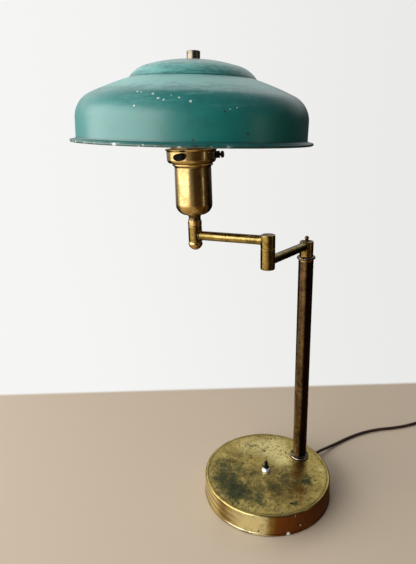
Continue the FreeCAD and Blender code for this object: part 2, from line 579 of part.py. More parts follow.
def cord_parts():
    """The strain relief, the cord on the table, the coil that it is stored in, and the plug."""
    way = towards(CORD_EXIT_BEARING)
    axis = Vector(0, 0, CORD_EXIT_Z)
    relief = bar(5.2, axis + way * (BASE_RADIUS - 6), axis + way * (BASE_RADIUS - 1.7))
    relief = relief.fuse(bar(3.8, axis + way * (BASE_RADIUS - 1.7), axis + way * (BASE_RADIUS + 0.6)))
    relief = relief.fuse(Part.makeCone(4.6, 2.9, 17.4, axis + way * (BASE_RADIUS + 0.6), way))
    exit_point = Vector(*CORD_ROUTE[0])
    relief = relief.cut(bar(CORD_DIAMETER / 2, exit_point, axis + way * (BASE_RADIUS + 30)))

    cord, run_length, radii = round_wire(CORD_ROUTE, CORD_DIAMETER)
    tail, tail_length, tail_radii = round_wire(TAIL_ROUTE, CORD_DIAMETER)
    inner, outer = COIL_RADIUS - COIL_SIDE / 2, COIL_RADIUS + COIL_SIDE / 2
    soft = 2.0
    coil = turned((inner + soft, 0), (outer - soft, 0), ((outer - 0.6, 0.6), (outer, soft)), (outer, COIL_SIDE - soft),
                  ((outer - 0.6, COIL_SIDE - 0.6), (outer - soft, COIL_SIDE)), (inner + soft, COIL_SIDE),
                  ((inner + 0.6, COIL_SIDE - 0.6), (inner, COIL_SIDE - soft)), (inner, soft),
                  ((inner + 0.6, 0.6), (inner + soft, 0)), place=COIL_AT)
    turns = (CORD_LENGTH - run_length - tail_length) / (2 * math.pi * COIL_RADIUS)
    print(f"cord: {run_length:.0f} mm laid out, {tail_length:.0f} mm to the plug, {turns:.1f} turns in the coil")
    print("cord bend radii:", [round(radius) for radius in radii], "tail:", [round(radius) for radius in tail_radii])

    blades = [Part.makeBox(1.5, 18, 6.35, PLUG_AT + Vector(side * 6.35 - 0.75, -43, -3.175)) for side in (-1, 1)]
    blades = [blade.cut(bar(1.5, PLUG_AT + Vector(-20, -39.5, 0), PLUG_AT + Vector(20, -39.5, 0))) for blade in blades]
    return {"cord_relief": relief, "cord_run": cord, "cord_coil": coil, "cord_tail": tail, "plug_body": plug_body(),
            "plug_blades": Part.makeCompound(blades)}


def plug_body():
    """A moulded plug with rounded corners, its back to the cord."""
    block = Part.makeBox(19, 25, 11.2, PLUG_AT + Vector(-9.5, -25, -5.6))
    block = block.makeFillet(2.2, block.Edges)
    return block.cut(bar(CORD_DIAMETER / 2, PLUG_AT + Vector(0, -7, 0), PLUG_AT + Vector(0, 1, 0)))


def build():
    """Every piece of the lamp by its node name."""
    parts = {}
    for make in (base_parts, spindle_parts, switch_parts, inner_arm_parts, outer_arm_parts, stem_parts,
                 socket_parts, collar_parts, carrier_parts, shade_parts, inner_lead_parts, cord_parts):
        parts.update(make())
    for name, bearing in THUMBSCREW_BEARINGS.items():
        parts[f"thumbscrew_{name}"] = thumbscrew(bearing)
    parts["shade_finial"] = finial()
    return parts


os.makedirs("parts", exist_ok=True)
for node, shape in build().items():
    assert shape.isValid() and shape.Volume > 0, node
    shape.exportStep(f"parts/{node}.step")
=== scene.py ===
"""Swing arm desk lamp: the finished looks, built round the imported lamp's fixed frame.

Each sub-assembly is a class that holds its sizes in millimetres, builds its pieces as worked-out surfaces
and dresses them. The frame is the CAD's: metres, +Z up, origin at the middle of the base's underside.
Bearings are degrees counter-clockwise from +X, seen from above.
"""
import functools
import logging
import math
from dataclasses import dataclass, field, replace
from enum import Enum
from typing import Callable, NamedTuple, Sequence

import bpy
import numpy as np
from mathutils import Matrix, Vector


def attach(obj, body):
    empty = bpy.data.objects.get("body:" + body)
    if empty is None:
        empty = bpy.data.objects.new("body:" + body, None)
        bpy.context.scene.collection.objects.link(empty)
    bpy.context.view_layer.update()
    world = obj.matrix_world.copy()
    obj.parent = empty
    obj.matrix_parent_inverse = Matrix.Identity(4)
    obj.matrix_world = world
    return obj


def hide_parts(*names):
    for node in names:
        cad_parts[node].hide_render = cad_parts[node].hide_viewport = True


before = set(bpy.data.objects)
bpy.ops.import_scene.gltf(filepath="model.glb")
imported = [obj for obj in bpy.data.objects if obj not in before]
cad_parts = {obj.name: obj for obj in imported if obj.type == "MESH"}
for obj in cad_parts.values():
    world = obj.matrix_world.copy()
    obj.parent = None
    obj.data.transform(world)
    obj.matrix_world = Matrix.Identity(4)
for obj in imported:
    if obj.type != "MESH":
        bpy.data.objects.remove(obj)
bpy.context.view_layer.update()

Array = np.ndarray
Socket = bpy.types.NodeSocket
Node = bpy.types.Node
Tree = bpy.types.NodeTree
Colour = tuple[float, float, float]
Place = tuple[float, float]
Place3 = tuple[float, float, float]
Marks = dict[str, Array]
Specks = tuple[tuple[Place3, float, bool], ...]
Patches = tuple[tuple[float, float, float, float], ...]

MM = 0.001
COLUMN_AT: Place = (53.2, 31.7)
KNUCKLE_AT: Place = (-6.972, -41.685)
HEAD_AT: Place = (-91.571, -1.170)
TOP_PLATE = 31.65
SHAFT_RADIUS = 4.5
RUNNING = 0.05          # radial clearance of a bore on its shaft
CORNER_TURN = 18        # degrees; an outline's corner that turns by more is rounded
CORNER_STEPS = 6
SAME_POINT = 1e-5
MARK_WIDTH = 0.7        # how far an edge's wear reaches along an outline
FULL_EDGE = 1.1         # radians of turn that make a full edge mark, and a full hollow mark
FULL_HOLLOW = 0.8
BLACK: Colour = (0.0, 0.0, 0.0)

log = logging.getLogger("lamp")


class Coat(NamedTuple):
    """A finished material and the record's slot that it belongs to."""

    material: bpy.types.Material
    slot: str


# ---- outlines and surfaces ----
def bell(value: Array, middle: float, width: float) -> Array:
    """The bell curve exp(-((value - middle) / width)^2)."""
    return np.exp(-((value - middle) / width) ** 2)


def arc_points(start: Array, middle: Place, end: Place, steps: int) -> Array:
    """Points of the circle through three points.

    The centre lies where the two bisectors cross, and the angle then runs evenly from start to end by way of
    middle.

    Args:
        start: first point of the arc, left out of the result.
        middle: any point between.
        end: last point.
        steps: how many points come back.

    Returns:
        An array of steps points.
    """
    a, b, c = (np.asarray(point, float) for point in (start, middle, end))
    centre = np.linalg.solve(2 * np.array([b - a, c - a]), np.array([b @ b - a @ a, c @ c - a @ a]))
    first, via, last = (math.atan2(*(point - centre)[::-1]) for point in (a, b, c))
    sweep = (last - first) % math.tau
    if (via - first) % math.tau > sweep:
        sweep -= math.tau
    angle = first + np.linspace(0, sweep, steps + 1)[1:]
    return centre + np.linalg.norm(a - centre) * np.stack([np.cos(angle), np.sin(angle)], 1)


class Outline:
    """A lathe outline of (radius, z) points in millimetres, drawn corner by corner."""

    def __init__(self, radius: float, z: float) -> None:
        """Starts the outline at a point."""
        self.runs: list[Array] = [np.array([[radius, z]], float)]

    def line(self, *corners: Place) -> "Outline":
        """Goes straight to each corner in turn."""
        self.runs.extend(np.array([corner], float) for corner in corners)
        return self

    def arc(self, middle: Place, end: Place, steps: int = 14) -> "Outline":
        """Goes round to end by way of middle."""
        self.runs.append(arc_points(self.runs[-1][-1], middle, end, steps))
        return self

    def drawn(self, rounding: float, pitch: float, loop: bool = True) -> Array:
        """The finished outline, its corners rounded and its long runs divided.

        A sharp corner P becomes the parabola (1-t)^2 A + 2t(1-t) P + t^2 B, where A and B lie on its two
        runs at the rounding's distance, or at 0.45 of the shorter run where that is less.

        Args:
            rounding: distance from a corner at which its rounding starts.
            pitch: longest run that is left undivided.
            loop: whether the last point joins the first; an open outline starts and ends on the axis.

        Returns:
            An array of (radius, z) points, counter-clockwise round the material.
        """
        points = np.concatenate(self.runs)
        around = np.roll(points, -1, 0)
        if np.sum(points[:, 0] * around[:, 1] - around[:, 0] * points[:, 1]) < 0:
            points = points[::-1]
        back = np.roll(points, 1, 0) - points
        ahead = np.roll(points, -1, 0) - points
        lengths = np.hypot(*back.T), np.hypot(*ahead.T)
        back, ahead = back / lengths[0][:, None], ahead / lengths[1][:, None]
        sharp = np.sum(back * ahead, 1) > -math.cos(math.radians(CORNER_TURN))
        if not loop:
            sharp[[0, -1]] = False
        reach = np.where(sharp, np.minimum(rounding, 0.45 * np.minimum(*lengths)), 0.0)[:, None, None]
        t = np.linspace(0, 1, CORNER_STEPS)[None, :, None]
        soft = points[:, None] + reach * ((1 - t) ** 2 * back[:, None] + t ** 2 * ahead[:, None])
        soft = soft.reshape(-1, 2)
        keep = np.hypot(*(soft - np.roll(soft, 1, 0)).T) > SAME_POINT
        soft = soft[keep | (np.arange(len(soft)) == 0)]
        starts, ends = (soft, np.roll(soft, -1, 0)) if loop else (soft[:-1], soft[1:])
        pieces = np.maximum(1, np.ceil(np.hypot(*(ends - starts).T) / pitch)).astype(int)
        index = np.repeat(np.arange(len(pieces)), pieces)
        step = np.arange(len(index)) - np.repeat(np.cumsum(pieces) - pieces, pieces)
        share = (step / pieces[index])[:, None]
        divided = starts[index] * (1 - share) + ends[index] * share
        return divided if loop else np.vstack([divided, soft[-1:]])

    def spun(self, at: Place, rounding: float, pitch: float, segments: int = 96, loop: bool = True,
             ripple: Callable[[Array, Array], Array] | None = None) -> "Surface":
        """The outline drawn and carried round an upright axis, with the arguments of drawn and lathe."""
        return lathe(self.drawn(rounding, pitch, loop), at, segments, loop, ripple=ripple)


def corner_marks(outline: Array, loop: bool) -> tuple[Array, Array]:
    """How near each outline point is to an outward edge and to an inward corner, from 0 to 1.

    The turn at every point, spread along the outline's length by a bell curve, is positive at an edge and
    negative at an inward corner.

    Args:
        outline: counter-clockwise (radius, z) points.
        loop: whether the outline is closed.

    Returns:
        The edge marks and the hollow marks.
    """
    ahead = np.roll(outline, -1, 0) - outline
    back = outline - np.roll(outline, 1, 0)
    turn = np.arctan2(back[:, 0] * ahead[:, 1] - back[:, 1] * ahead[:, 0], np.sum(back * ahead, 1))
    if not loop:
        turn[[0, -1]] = 0.0
    run = np.cumsum(np.hypot(*back.T)) - np.hypot(*back.T)[0]
    spread = bell(run[:, None], run[None, :], MARK_WIDTH) @ turn
    return np.clip(spread / FULL_EDGE, 0, 1), np.clip(-spread / FULL_HOLLOW, 0, 1)


def grid_faces(rows: int, columns: int, rows_close: bool = True, columns_close: bool = True) -> Array:
    """Four-cornered faces over a grid of points numbered row by row.

    Args:
        rows: how many rows of points.
        columns: how many points in a row.
        rows_close: whether the last row joins the first.
        columns_close: whether a row's last point joins its first.

    Returns:
        (faces, 4) point numbers, facing the way of row direction times column direction.
    """
    i, j = np.meshgrid(np.arange(rows - (not rows_close)), np.arange(columns - (not columns_close)),
                       indexing="ij")
    after, above = (i + 1) % rows, (j + 1) % columns
    corners = [i * columns + j, after * columns + j, after * columns + above, i * columns + above]
    return np.stack(corners, -1).reshape(-1, 4)


def end_fans(rows: int, columns: int) -> Array:
    """Triangles from a grid's first and last columns to two tips, numbered next after its last point.

    Args:
        rows: how many rows, which close.
        columns: how many points in a row.

    Returns:
        (triangles, 3) point numbers, facing as grid_faces does.
    """
    here = np.arange(rows)
    after, tip = (here + 1) % rows, np.full(rows, rows * columns)
    under = np.stack([after * columns, here * columns, tip], -1)
    over = np.stack([here * columns + columns - 1, after * columns + columns - 1, tip + 1], -1)
    return np.vstack([under, over])


@dataclass
class Surface:
    """A mesh in the making: points in millimetres, outward faces, and marks that the finishes read."""

    points: Array
    quads: Array
    triangles: Array = field(default_factory=lambda: np.zeros((0, 3), int))
    marks: Marks = field(default_factory=dict)

    def turned(self, matrix: Matrix) -> "Surface":
        """This surface moved by a matrix in millimetres."""
        m = np.array(matrix, float)
        return replace(self, points=self.points @ m[:3, :3].T + m[:3, 3])

    def bearing(self, at: Place) -> Array:
        """The bearing of every point from an upright axis, in radians."""
        return np.arctan2(self.points[:, 1] - at[1], self.points[:, 0] - at[0])

    def darkened(self, hollow: Array) -> "Surface":
        """This surface with its mark of dark hollows and painted shade raised to the given one."""
        return replace(self, marks={**self.marks, "hollow": np.maximum(self.marks["hollow"], hollow)})

    def made(self, name: str, coat: Coat, body: str, *stands_for: str,
             sharp: float = 40.0) -> bpy.types.Object:
        """Puts the surface into the scene as a finished piece.

        Args:
            name: the piece's name.
            coat: its material and slot.
            body: the CAD body that it rides on.
            stands_for: the CAD nodes that it replaces.
            sharp: edges that turn by more than this many degrees stay crisp.

        Returns:
            The new object.
        """
        mesh = bpy.data.meshes.new(name)
        mesh.from_pydata((self.points * MM).tolist(), [], self.quads.tolist() + self.triangles.tolist())
        for mark, values in self.marks.items():
            mesh.attributes.new(mark, "FLOAT", "POINT").data.foreach_set("value", values.astype(np.float32))
        mesh.polygons.foreach_set("use_smooth", np.ones(len(mesh.polygons), bool))
        mesh.set_sharp_from_angle(angle=math.radians(sharp))
        mesh.materials.append(coat.material)
        mesh.update()
        return settled(bpy.data.objects.new(name, mesh), coat.slot, body, *stands_for)


def settled(piece: bpy.types.Object, slot: str, body: str, *stands_for: str) -> bpy.types.Object:
    """Links a piece, hangs it on its body and names its slot and the CAD nodes that it stands for.

    Args:
        piece: the new object.
        slot: the record's material slot.
        body: the CAD body that it rides on.
        stands_for: the CAD nodes that it replaces.

    Returns:
        The same object.
    """
    bpy.context.scene.collection.objects.link(piece)
    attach(piece, body)
    if stands_for:
        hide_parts(*stands_for)
    log.info("%s: rides on %s, finish slot %s", piece.name, body, slot)
    return piece


def lathe(outline: Array, at: Place = (0.0, 0.0), segments: int = 96, loop: bool = True,
          marks: Marks | None = None,
          ripple: Callable[[Array, Array], Array] | None = None) -> Surface:
    """An outline carried round the upright axis.

    The point at angle a of outline point (r, z) is (r cos a, r sin a, z). An open outline has a single point
    at each end, on the axis, with a fan of triangles round it.

    Args:
        outline: counter-clockwise (radius, z) points.
        at: where the axis stands.
        segments: steps round the axis.
        loop: whether the outline is closed.
        marks: extra marks per outline point.
        ripple: a change of radius as a function of angle and height, such as a milled edge.

    Returns:
        The surface, with its edge marks and its marks of inward corners.
    """
    edge, hollow = corner_marks(outline, loop)
    rows = {"edge": edge, "hollow": hollow, **(marks or {})}
    ring = outline if loop else outline[1:-1]
    turn = np.repeat((np.arange(segments) * math.tau / segments)[:, None], len(ring), 1)
    radius, z = (np.broadcast_to(ring[:, k], turn.shape) for k in (0, 1))
    if ripple is not None:
        radius = radius + ripple(turn, z)
    points = np.stack([radius * np.cos(turn), radius * np.sin(turn), z], -1).reshape(-1, 3)
    surface = Surface(points, grid_faces(segments, len(ring), columns_close=loop))
    surface.marks = {name: np.tile(values if loop else values[1:-1], segments)
                     for name, values in rows.items()}
    if not loop:
        surface.points = np.vstack([points, [[0, 0, outline[0, 1]], [0, 0, outline[-1, 1]]]])
        surface.marks = {name: np.append(values, rows[name][[0, -1]])
                         for name, values in surface.marks.items()}
        surface.triangles = end_fans(segments, len(ring))
    return surface.turned(Matrix.Translation((*at, 0.0)))


def towards(bearing: float) -> Array:
    """The level unit vector along a bearing."""
    return np.array([math.cos(math.radians(bearing)), math.sin(math.radians(bearing)), 0.0])


# ---- node trees ----
class Nodes:
    """Adds and wires nodes in one tree, so that a finish reads as a recipe."""

    def __init__(self, tree: Tree) -> None:
        """Works in the given tree."""
        self.tree = tree

    def add(self, kind: str, **settings: object) -> Node:
        """A new node with its settings.

        Args:
            kind: the node's type.
            settings: its properties by name.

        Returns:
            The node.
        """
        node = self.tree.nodes.new(kind)
        for name, value in settings.items():
            setattr(node, name, value)
        return node

    def wire(self, value: object, socket: Socket) -> None:
        """Feeds a socket from another socket or with a plain value, where a colour is opaque.

        Args:
            value: a socket or a plain value.
            socket: the socket to feed.
        """
        if isinstance(value, bpy.types.NodeSocket):
            self.tree.links.new(value, socket)
        else:
            socket.default_value = (*value, 1.0) if socket.type == "RGBA" else value

    def feed(self, node: Node, feeds: dict[str | int, object]) -> Node:
        """Feeds a node's sockets by their names or numbers, and gives the node back."""
        for name, value in feeds.items():
            self.wire(value, node.inputs[name])
        return node

    def maths(self, operation: str, *values: object, clamp: bool = False) -> Socket:
        """One sum on one or two numbers."""
        node = self.add("ShaderNodeMath", operation=operation, use_clamp=clamp)
        return self.feed(node, dict(enumerate(values))).outputs[0]

    def plus(self, first: object, second: object) -> Socket:
        """The sum of two numbers."""
        return self.maths("ADD", first, second)

    def minus(self, first: object, second: object) -> Socket:
        """The difference of two numbers."""
        return self.maths("SUBTRACT", first, second)

    def times(self, first: object, second: object) -> Socket:
        """The product of two numbers."""
        return self.maths("MULTIPLY", first, second)

    def mixed(self, share: object, first: object, second: object) -> Socket:
        """A blend of two colours."""
        node = self.add("ShaderNodeMix", data_type="RGBA")
        return self.feed(node, {0: share, 6: first, 7: second}).outputs[2]

    def between(self, share: object, first: object, second: object) -> Socket:
        """A blend of two numbers."""
        return self.feed(self.add("ShaderNodeMix", data_type="FLOAT"),
                         {0: share, 2: first, 3: second}).outputs[0]

    def layers(self, colour: object, *coats: tuple[object, object, float]) -> Socket:
        """A colour under some coats, each a colour, the mask where it lies and the most of it that shows."""
        for over, mask, share in coats:
            colour = self.mixed(self.times(mask, share), colour, over)
        return colour

    def rising(self, value: object, low: object, high: object, bottom: object = 0.0,
               top: object = 1.0) -> Socket:
        """A smooth step from bottom to top as a value goes from low to high."""
        node = self.add("ShaderNodeMapRange", interpolation_type="SMOOTHSTEP")
        return self.feed(node, dict(enumerate((value, low, high, bottom, top)))).outputs[0]

    def noise(self, vector: Socket, scale: object, detail: float = 3.0, warp: float = 0.0) -> Socket:
        """Soft cloudy noise from 0 to 1."""
        feeds = {"Vector": vector, "Scale": scale, "Detail": detail, "Distortion": warp}
        return self.feed(self.add("ShaderNodeTexNoise"), feeds).outputs["Fac"]

    def stretched(self, vector: Socket, scale: Place3, turn: Place3 = (0.0, 0.0, 0.0)) -> Socket:
        """A vector turned and then stretched, for marks that run one way."""
        feeds = {"Vector": vector, "Rotation": turn, "Scale": tuple(1 / s for s in scale)}
        return self.feed(self.add("ShaderNodeMapping", vector_type="TEXTURE"), feeds).outputs[0]

    def place(self) -> Socket:
        """The point on the object, in metres."""
        return self.add("ShaderNodeTexCoord").outputs["Object"]

    def axes(self, vector: Socket) -> Sequence[Socket]:
        """A vector's x, y and z."""
        return self.feed(self.add("ShaderNodeSeparateXYZ"), {0: vector}).outputs

    def seen(self) -> Socket:
        """One where the camera looks, zero for light and for what a surface mirrors."""
        return self.add("ShaderNodeLightPath").outputs["Is Camera Ray"]

    def mark(self, name: str) -> Socket:
        """A mark that the mesh carries."""
        return self.add("ShaderNodeAttribute", attribute_name=name).outputs["Fac"]

    def effect(self, tree: Tree, vector: Socket, **feeds: object) -> Sequence[Socket]:
        """What comes out of a shared effect placed with its own values."""
        node = self.add("ShaderNodeGroup", node_tree=tree)
        return self.feed(node,
                         {"Vector": vector, **{name.capitalize(): feeds[name] for name in feeds}}).outputs

    def mask(self, tree: Tree, vector: Socket, **feeds: object) -> Socket:
        """The mask of a shared effect."""
        return self.effect(tree, vector, **feeds)[0]

    def bump(self, shader: Node, height: Socket, depth: float) -> None:
        """Raises the surface by a height from 0 to 1, depth metres deep."""
        node = self.feed(self.add("ShaderNodeBump"), {"Strength": 1.0, "Distance": depth, "Height": height})
        self.wire(node.outputs[0], shader.inputs["Normal"])


def effect_tree(name: str, outputs: Sequence[str] = ("Mask",), **inputs: float | None
                ) -> tuple[Nodes, dict[str, Socket], dict[str, Socket]]:
    """An empty node group with named sockets.

    Args:
        name: the group's name.
        outputs: names of the number sockets that come out.
        inputs: names of the sockets that go in next to the vector, with their defaults; None is a vector.

    Returns:
        The node helper, the sockets that come in, in small letters, and the sockets to feed.
    """
    tree = bpy.data.node_groups.new(name, "ShaderNodeTree")
    for label, value in {"vector": None, **inputs}.items():
        kind = "NodeSocketVector" if value is None else "NodeSocketFloat"
        socket = tree.interface.new_socket(label.capitalize(), in_out="INPUT", socket_type=kind)
        if value is not None:
            socket.default_value = value
    for label in outputs:
        tree.interface.new_socket(label, in_out="OUTPUT", socket_type="NodeSocketFloat")
    nodes = Nodes(tree)
    entry, leave = nodes.add("NodeGroupInput"), nodes.add("NodeGroupOutput")
    given = {label: entry.outputs[label.capitalize()] for label in ("vector", *inputs)}
    return nodes, given, {label: leave.inputs[label] for label in outputs}


@functools.cache
def tarnish() -> Tree:
    """Cloudy patches with a ragged border. Cover is the share of the surface that they take.

    Returns:
        The node group.
    """
    n, given, out = effect_tree("Tarnish patches", scale=60.0, cover=0.5, softness=0.12)
    broad = n.noise(given["vector"], given["scale"], 3.0, 0.6)
    ragged = n.noise(given["vector"], n.times(given["scale"], 5.3), 4.0)
    cloud = n.plus(n.times(broad, 0.72), n.times(ragged, 0.28))
    level = n.rising(given["cover"], 0.0, 1.0, 0.72, 0.28)
    mask = n.rising(cloud, n.minus(level, given["softness"]), n.plus(level, given["softness"]))
    n.wire(mask, out["Mask"])
    return n.tree


@functools.cache
def pits() -> Tree:
    """Small scattered pits. Amount is the share of the cells that hold one.

    Returns:
        The node group.
    """
    n, given, out = effect_tree("Corrosion pits", scale=400.0, amount=0.3, size=0.3)
    cells = n.feed(n.add("ShaderNodeTexVoronoi"),
                   {"Vector": given["vector"], "Scale": given["scale"]}).outputs
    chance = n.feed(n.add("ShaderNodeSeparateColor"), {0: cells["Color"]}).outputs
    size = n.times(given["size"], n.plus(chance[1], 0.4))
    dot = n.rising(cells["Distance"], n.times(size, 0.55), size, 1.0, 0.0)
    n.wire(n.times(n.maths("LESS_THAN", chance[0], given["amount"]), dot), out["Mask"])
    return n.tree


@functools.cache
def wear() -> Tree:
    """Where handling has rubbed an edge. Edge is the mesh's own mark, broken up by noise.

    Returns:
        The node group.
    """
    n, given, out = effect_tree("Rubbed edges", edge=0.0, scale=300.0, amount=0.5)
    level = n.minus(1.0, given["amount"])
    reach = n.times(given["edge"], n.plus(n.noise(given["vector"], given["scale"], 4.0), 0.5))
    n.wire(n.rising(reach, n.times(level, 0.5), n.plus(level, 0.15)), out["Mask"])
    return n.tree


@functools.cache
def streaks() -> Tree:
    """Fine lines left by drawing, turning or rubbing. The vector arrives stretched along the lines.

    Returns:
        The node group.
    """
    n, given, out = effect_tree("Fine streaks", ("Mask", "Height"), scale=1.0)
    fine = n.noise(given["vector"], given["scale"], 5.0)
    broad = n.noise(given["vector"], n.times(given["scale"], 0.23), 2.0)
    n.wire(n.rising(n.plus(n.times(fine, 0.5), n.times(broad, 0.5)), 0.38, 0.62), out["Mask"])
    n.wire(fine, out["Height"])
    return n.tree


@functools.cache
def speck() -> Tree:
    """One ragged chip or stain of a given size round a place, in metres.

    Returns:
        The node group.
    """
    n, given, out = effect_tree("Ragged spot", place=None, size=0.002, ragged=0.5)
    gap = n.feed(n.add("ShaderNodeVectorMath", operation="DISTANCE"),
                 {0: given["vector"], 1: given["place"]})
    rough = n.noise(given["vector"], n.maths("DIVIDE", 2.2, given["size"]), 3.0)
    push = n.times(n.minus(rough, 0.5), n.times(given["ragged"], 2.6))
    far = n.plus(n.maths("DIVIDE", gap.outputs["Value"], given["size"]), push)
    n.wire(n.rising(far, 0.75, 1.1, 1.0, 0.0), out["Mask"])
    return n.tree


def new_material(name: str) -> tuple[bpy.types.Material, Nodes, Node]:
    """A material with its node helper and its one Principled shader.

    Args:
        name: the material's name.

    Returns:
        The material, its node helper and its shader.
    """
    material = bpy.data.materials.new(name)
    material.use_nodes = True
    shader = next(node for node in material.node_tree.nodes if node.type == "BSDF_PRINCIPLED")
    return material, Nodes(material.node_tree), shader


# ---- finishes ----
@dataclass(frozen=True)
class Recipe:
    """What every finish has: a name, and a way to dress a shader."""

    name: str

    def make(self) -> bpy.types.Material:
        """Builds the material."""
        material, n, shader = new_material(self.name)
        self.dress(n, shader)
        return material

    def dress(self, n: Nodes, shader: Node) -> Socket | None:
        """Wires the shader, and gives back its colour where another finish adds to it."""
        raise NotImplementedError


@dataclass(frozen=True)
class AgedMetal(Recipe):
    """Bare or lacquered metal that has dulled in patches, pitted, and rubbed bright on its edges."""

    bright: Colour
    dull: Colour
    dark: Colour
    smooth: float
    rough: float
    patch_scale: float
    patch_cover: float
    dark_cover: float
    pitted: float
    rubbed: float
    streak: Place3 = (1.0, 1.0, 1.0)
    streak_share: float = 0.3
    lacquer: float = 0.15
    relief: float = 0.00004

    def dress(self, n: Nodes, shader: Node) -> Socket:
        """Wires the shader and gives back the colour that feeds it.

        Args:
            n: the node helper of the material's tree.
            shader: the material's shader.

        Returns:
            The colour, for a finish that adds to it.
        """
        where = n.place()
        patches = n.mask(tarnish(), where, scale=self.patch_scale, cover=self.patch_cover)
        darker = n.mask(tarnish(), where, scale=self.patch_scale * 3.1, cover=self.dark_cover, softness=0.08)
        pitting = n.mask(pits(), where, scale=900.0, amount=self.pitted, size=0.34)
        lines = n.effect(streaks(), n.stretched(where, self.streak), scale=900.0)
        rubbed = n.mask(wear(), where, edge=n.mark("edge"), amount=self.rubbed)
        # The hollow-and-shade mark darkens inward corners, and on some pieces it carries painted shade and
        # painted reflections.
        colour = n.layers(n.mixed(patches, self.bright, self.dull),
                          (self.dark, lines["Mask"], self.streak_share),
                          (self.dark, darker, 0.6), (self.dark, pitting, 0.8),
                          (self.dark, n.mark("hollow"), 0.85))
        colour = n.mixed(rubbed, colour, self.bright)
        dulled = n.plus(n.times(patches, 0.6), n.times(darker, 0.4))
        n.feed(shader, {"Base Color": colour, "Roughness": n.between(dulled, self.smooth, self.rough),
                        "Metallic": 1.0, "Coat Weight": self.lacquer, "Coat Roughness": 0.18})
        n.bump(shader, n.minus(n.times(lines["Height"], 0.4), pitting), self.relief)
        return colour


@dataclass(frozen=True)
class StainedPlate(AgedMetal):
    """The base's brass, dirty, stained green-black or amber, or left pale where the mesh says; on its side
    the brown is painted shade and the pale a painted highlight, and a painted shadow lies along its foot.
    """

    specks: Specks = ()
    grime_and_shadow: Colour = (0.082, 0.058, 0.016)
    green_black: Colour = (0.018, 0.028, 0.017)
    verdigris: Colour = (0.055, 0.075, 0.038)
    amber: Colour = (0.17, 0.075, 0.01)
    brown: Colour = (0.2, 0.052, 0.012)
    pale: Colour = (0.8, 0.68, 0.3)
    highlight_cream: Colour = (1.0, 0.95, 0.66)
    black: Colour = (0.012, 0.012, 0.008)
    white: Colour = (0.9, 0.9, 0.88)

    def dress(self, n: Nodes, shader: Node) -> Socket:
        """Lays the stains over the metal, each with its mark's border broken up by noise. The brown layer is
        painted shade and the highlight cream a painted highlight, both on the side, and the dirt layer also
        lays a painted shadow along the foot.

        Args:
            n: the node helper of the material's tree.
            shader: the material's shader.

        Returns:
            The colour.
        """
        colour = super().dress(n, shader)
        where = n.place()
        noises = n.noise(where, 30.0, 3.0, 0.5), n.noise(where, 95.0, 4.0, 0.3), n.noise(where, 420.0, 4.0)
        broad, ragged, fine = (n.times(n.minus(noise, 0.5), size)
                               for noise, size in zip(noises, (1.1, 1.2, 0.8)))
        border = n.plus(broad, n.plus(ragged, fine))

        def stain(mark: str, breaking: float, low: float, high: float) -> Socket:
            """The mask of one kind of stain."""
            return n.rising(n.plus(n.mark(mark), n.times(border, breaking)), low, high)

        plate = n.mark("plate")
        stained = stain("stain", 1.0, 0.15, 0.95)
        green = n.mixed(n.rising(n.plus(noises[1], n.times(noises[2], 0.4)), 0.55, 0.85), self.green_black,
                        self.verdigris)
        flecks = n.maths("MAXIMUM", n.mask(pits(), where, scale=330.0, amount=0.5, size=0.42),
                         n.mask(pits(), where, scale=130.0, amount=0.5, size=0.25))
        # Painted light among these layers: the brown is painted shade, the highlight cream a painted
        # highlight, and the dirt layer also carries a painted shadow along the foot.
        colour = n.layers(colour,
                          (n.mixed(plate, self.highlight_cream, self.pale), stain("pale", 0.5, 0.3, 0.95), 0.75),
                          (self.grime_and_shadow, stain("grime_and_shadow", 1.1, 0.1, 1.2), 0.9),
                          (self.amber, stain("amber", 0.6, 0.2, 0.95), 0.8),
                          (self.brown, stain("brown", 0.5, 0.15, 0.9), 0.9), (green, stained, 0.88),
                          (self.green_black, n.times(flecks, n.rising(plate, 0.2, 0.8)), 0.72),
                          (self.black, n.mark("lip"), 0.85))
        bare: Socket | float = 1.0
        for place, size, pale in self.specks:
            spot = n.mask(speck(), where, place=place, size=size, ragged=0.4)
            colour = n.layers(colour, (self.white if pale else self.black, spot, 0.9))
            bare = n.maths("SUBTRACT", bare, spot, clamp=True) if pale else bare
        n.feed(shader, {"Base Color": colour, "Metallic": bare,
                        "Roughness": n.between(stained, n.between(plate, 0.27, 0.4), 0.5)})
        return colour


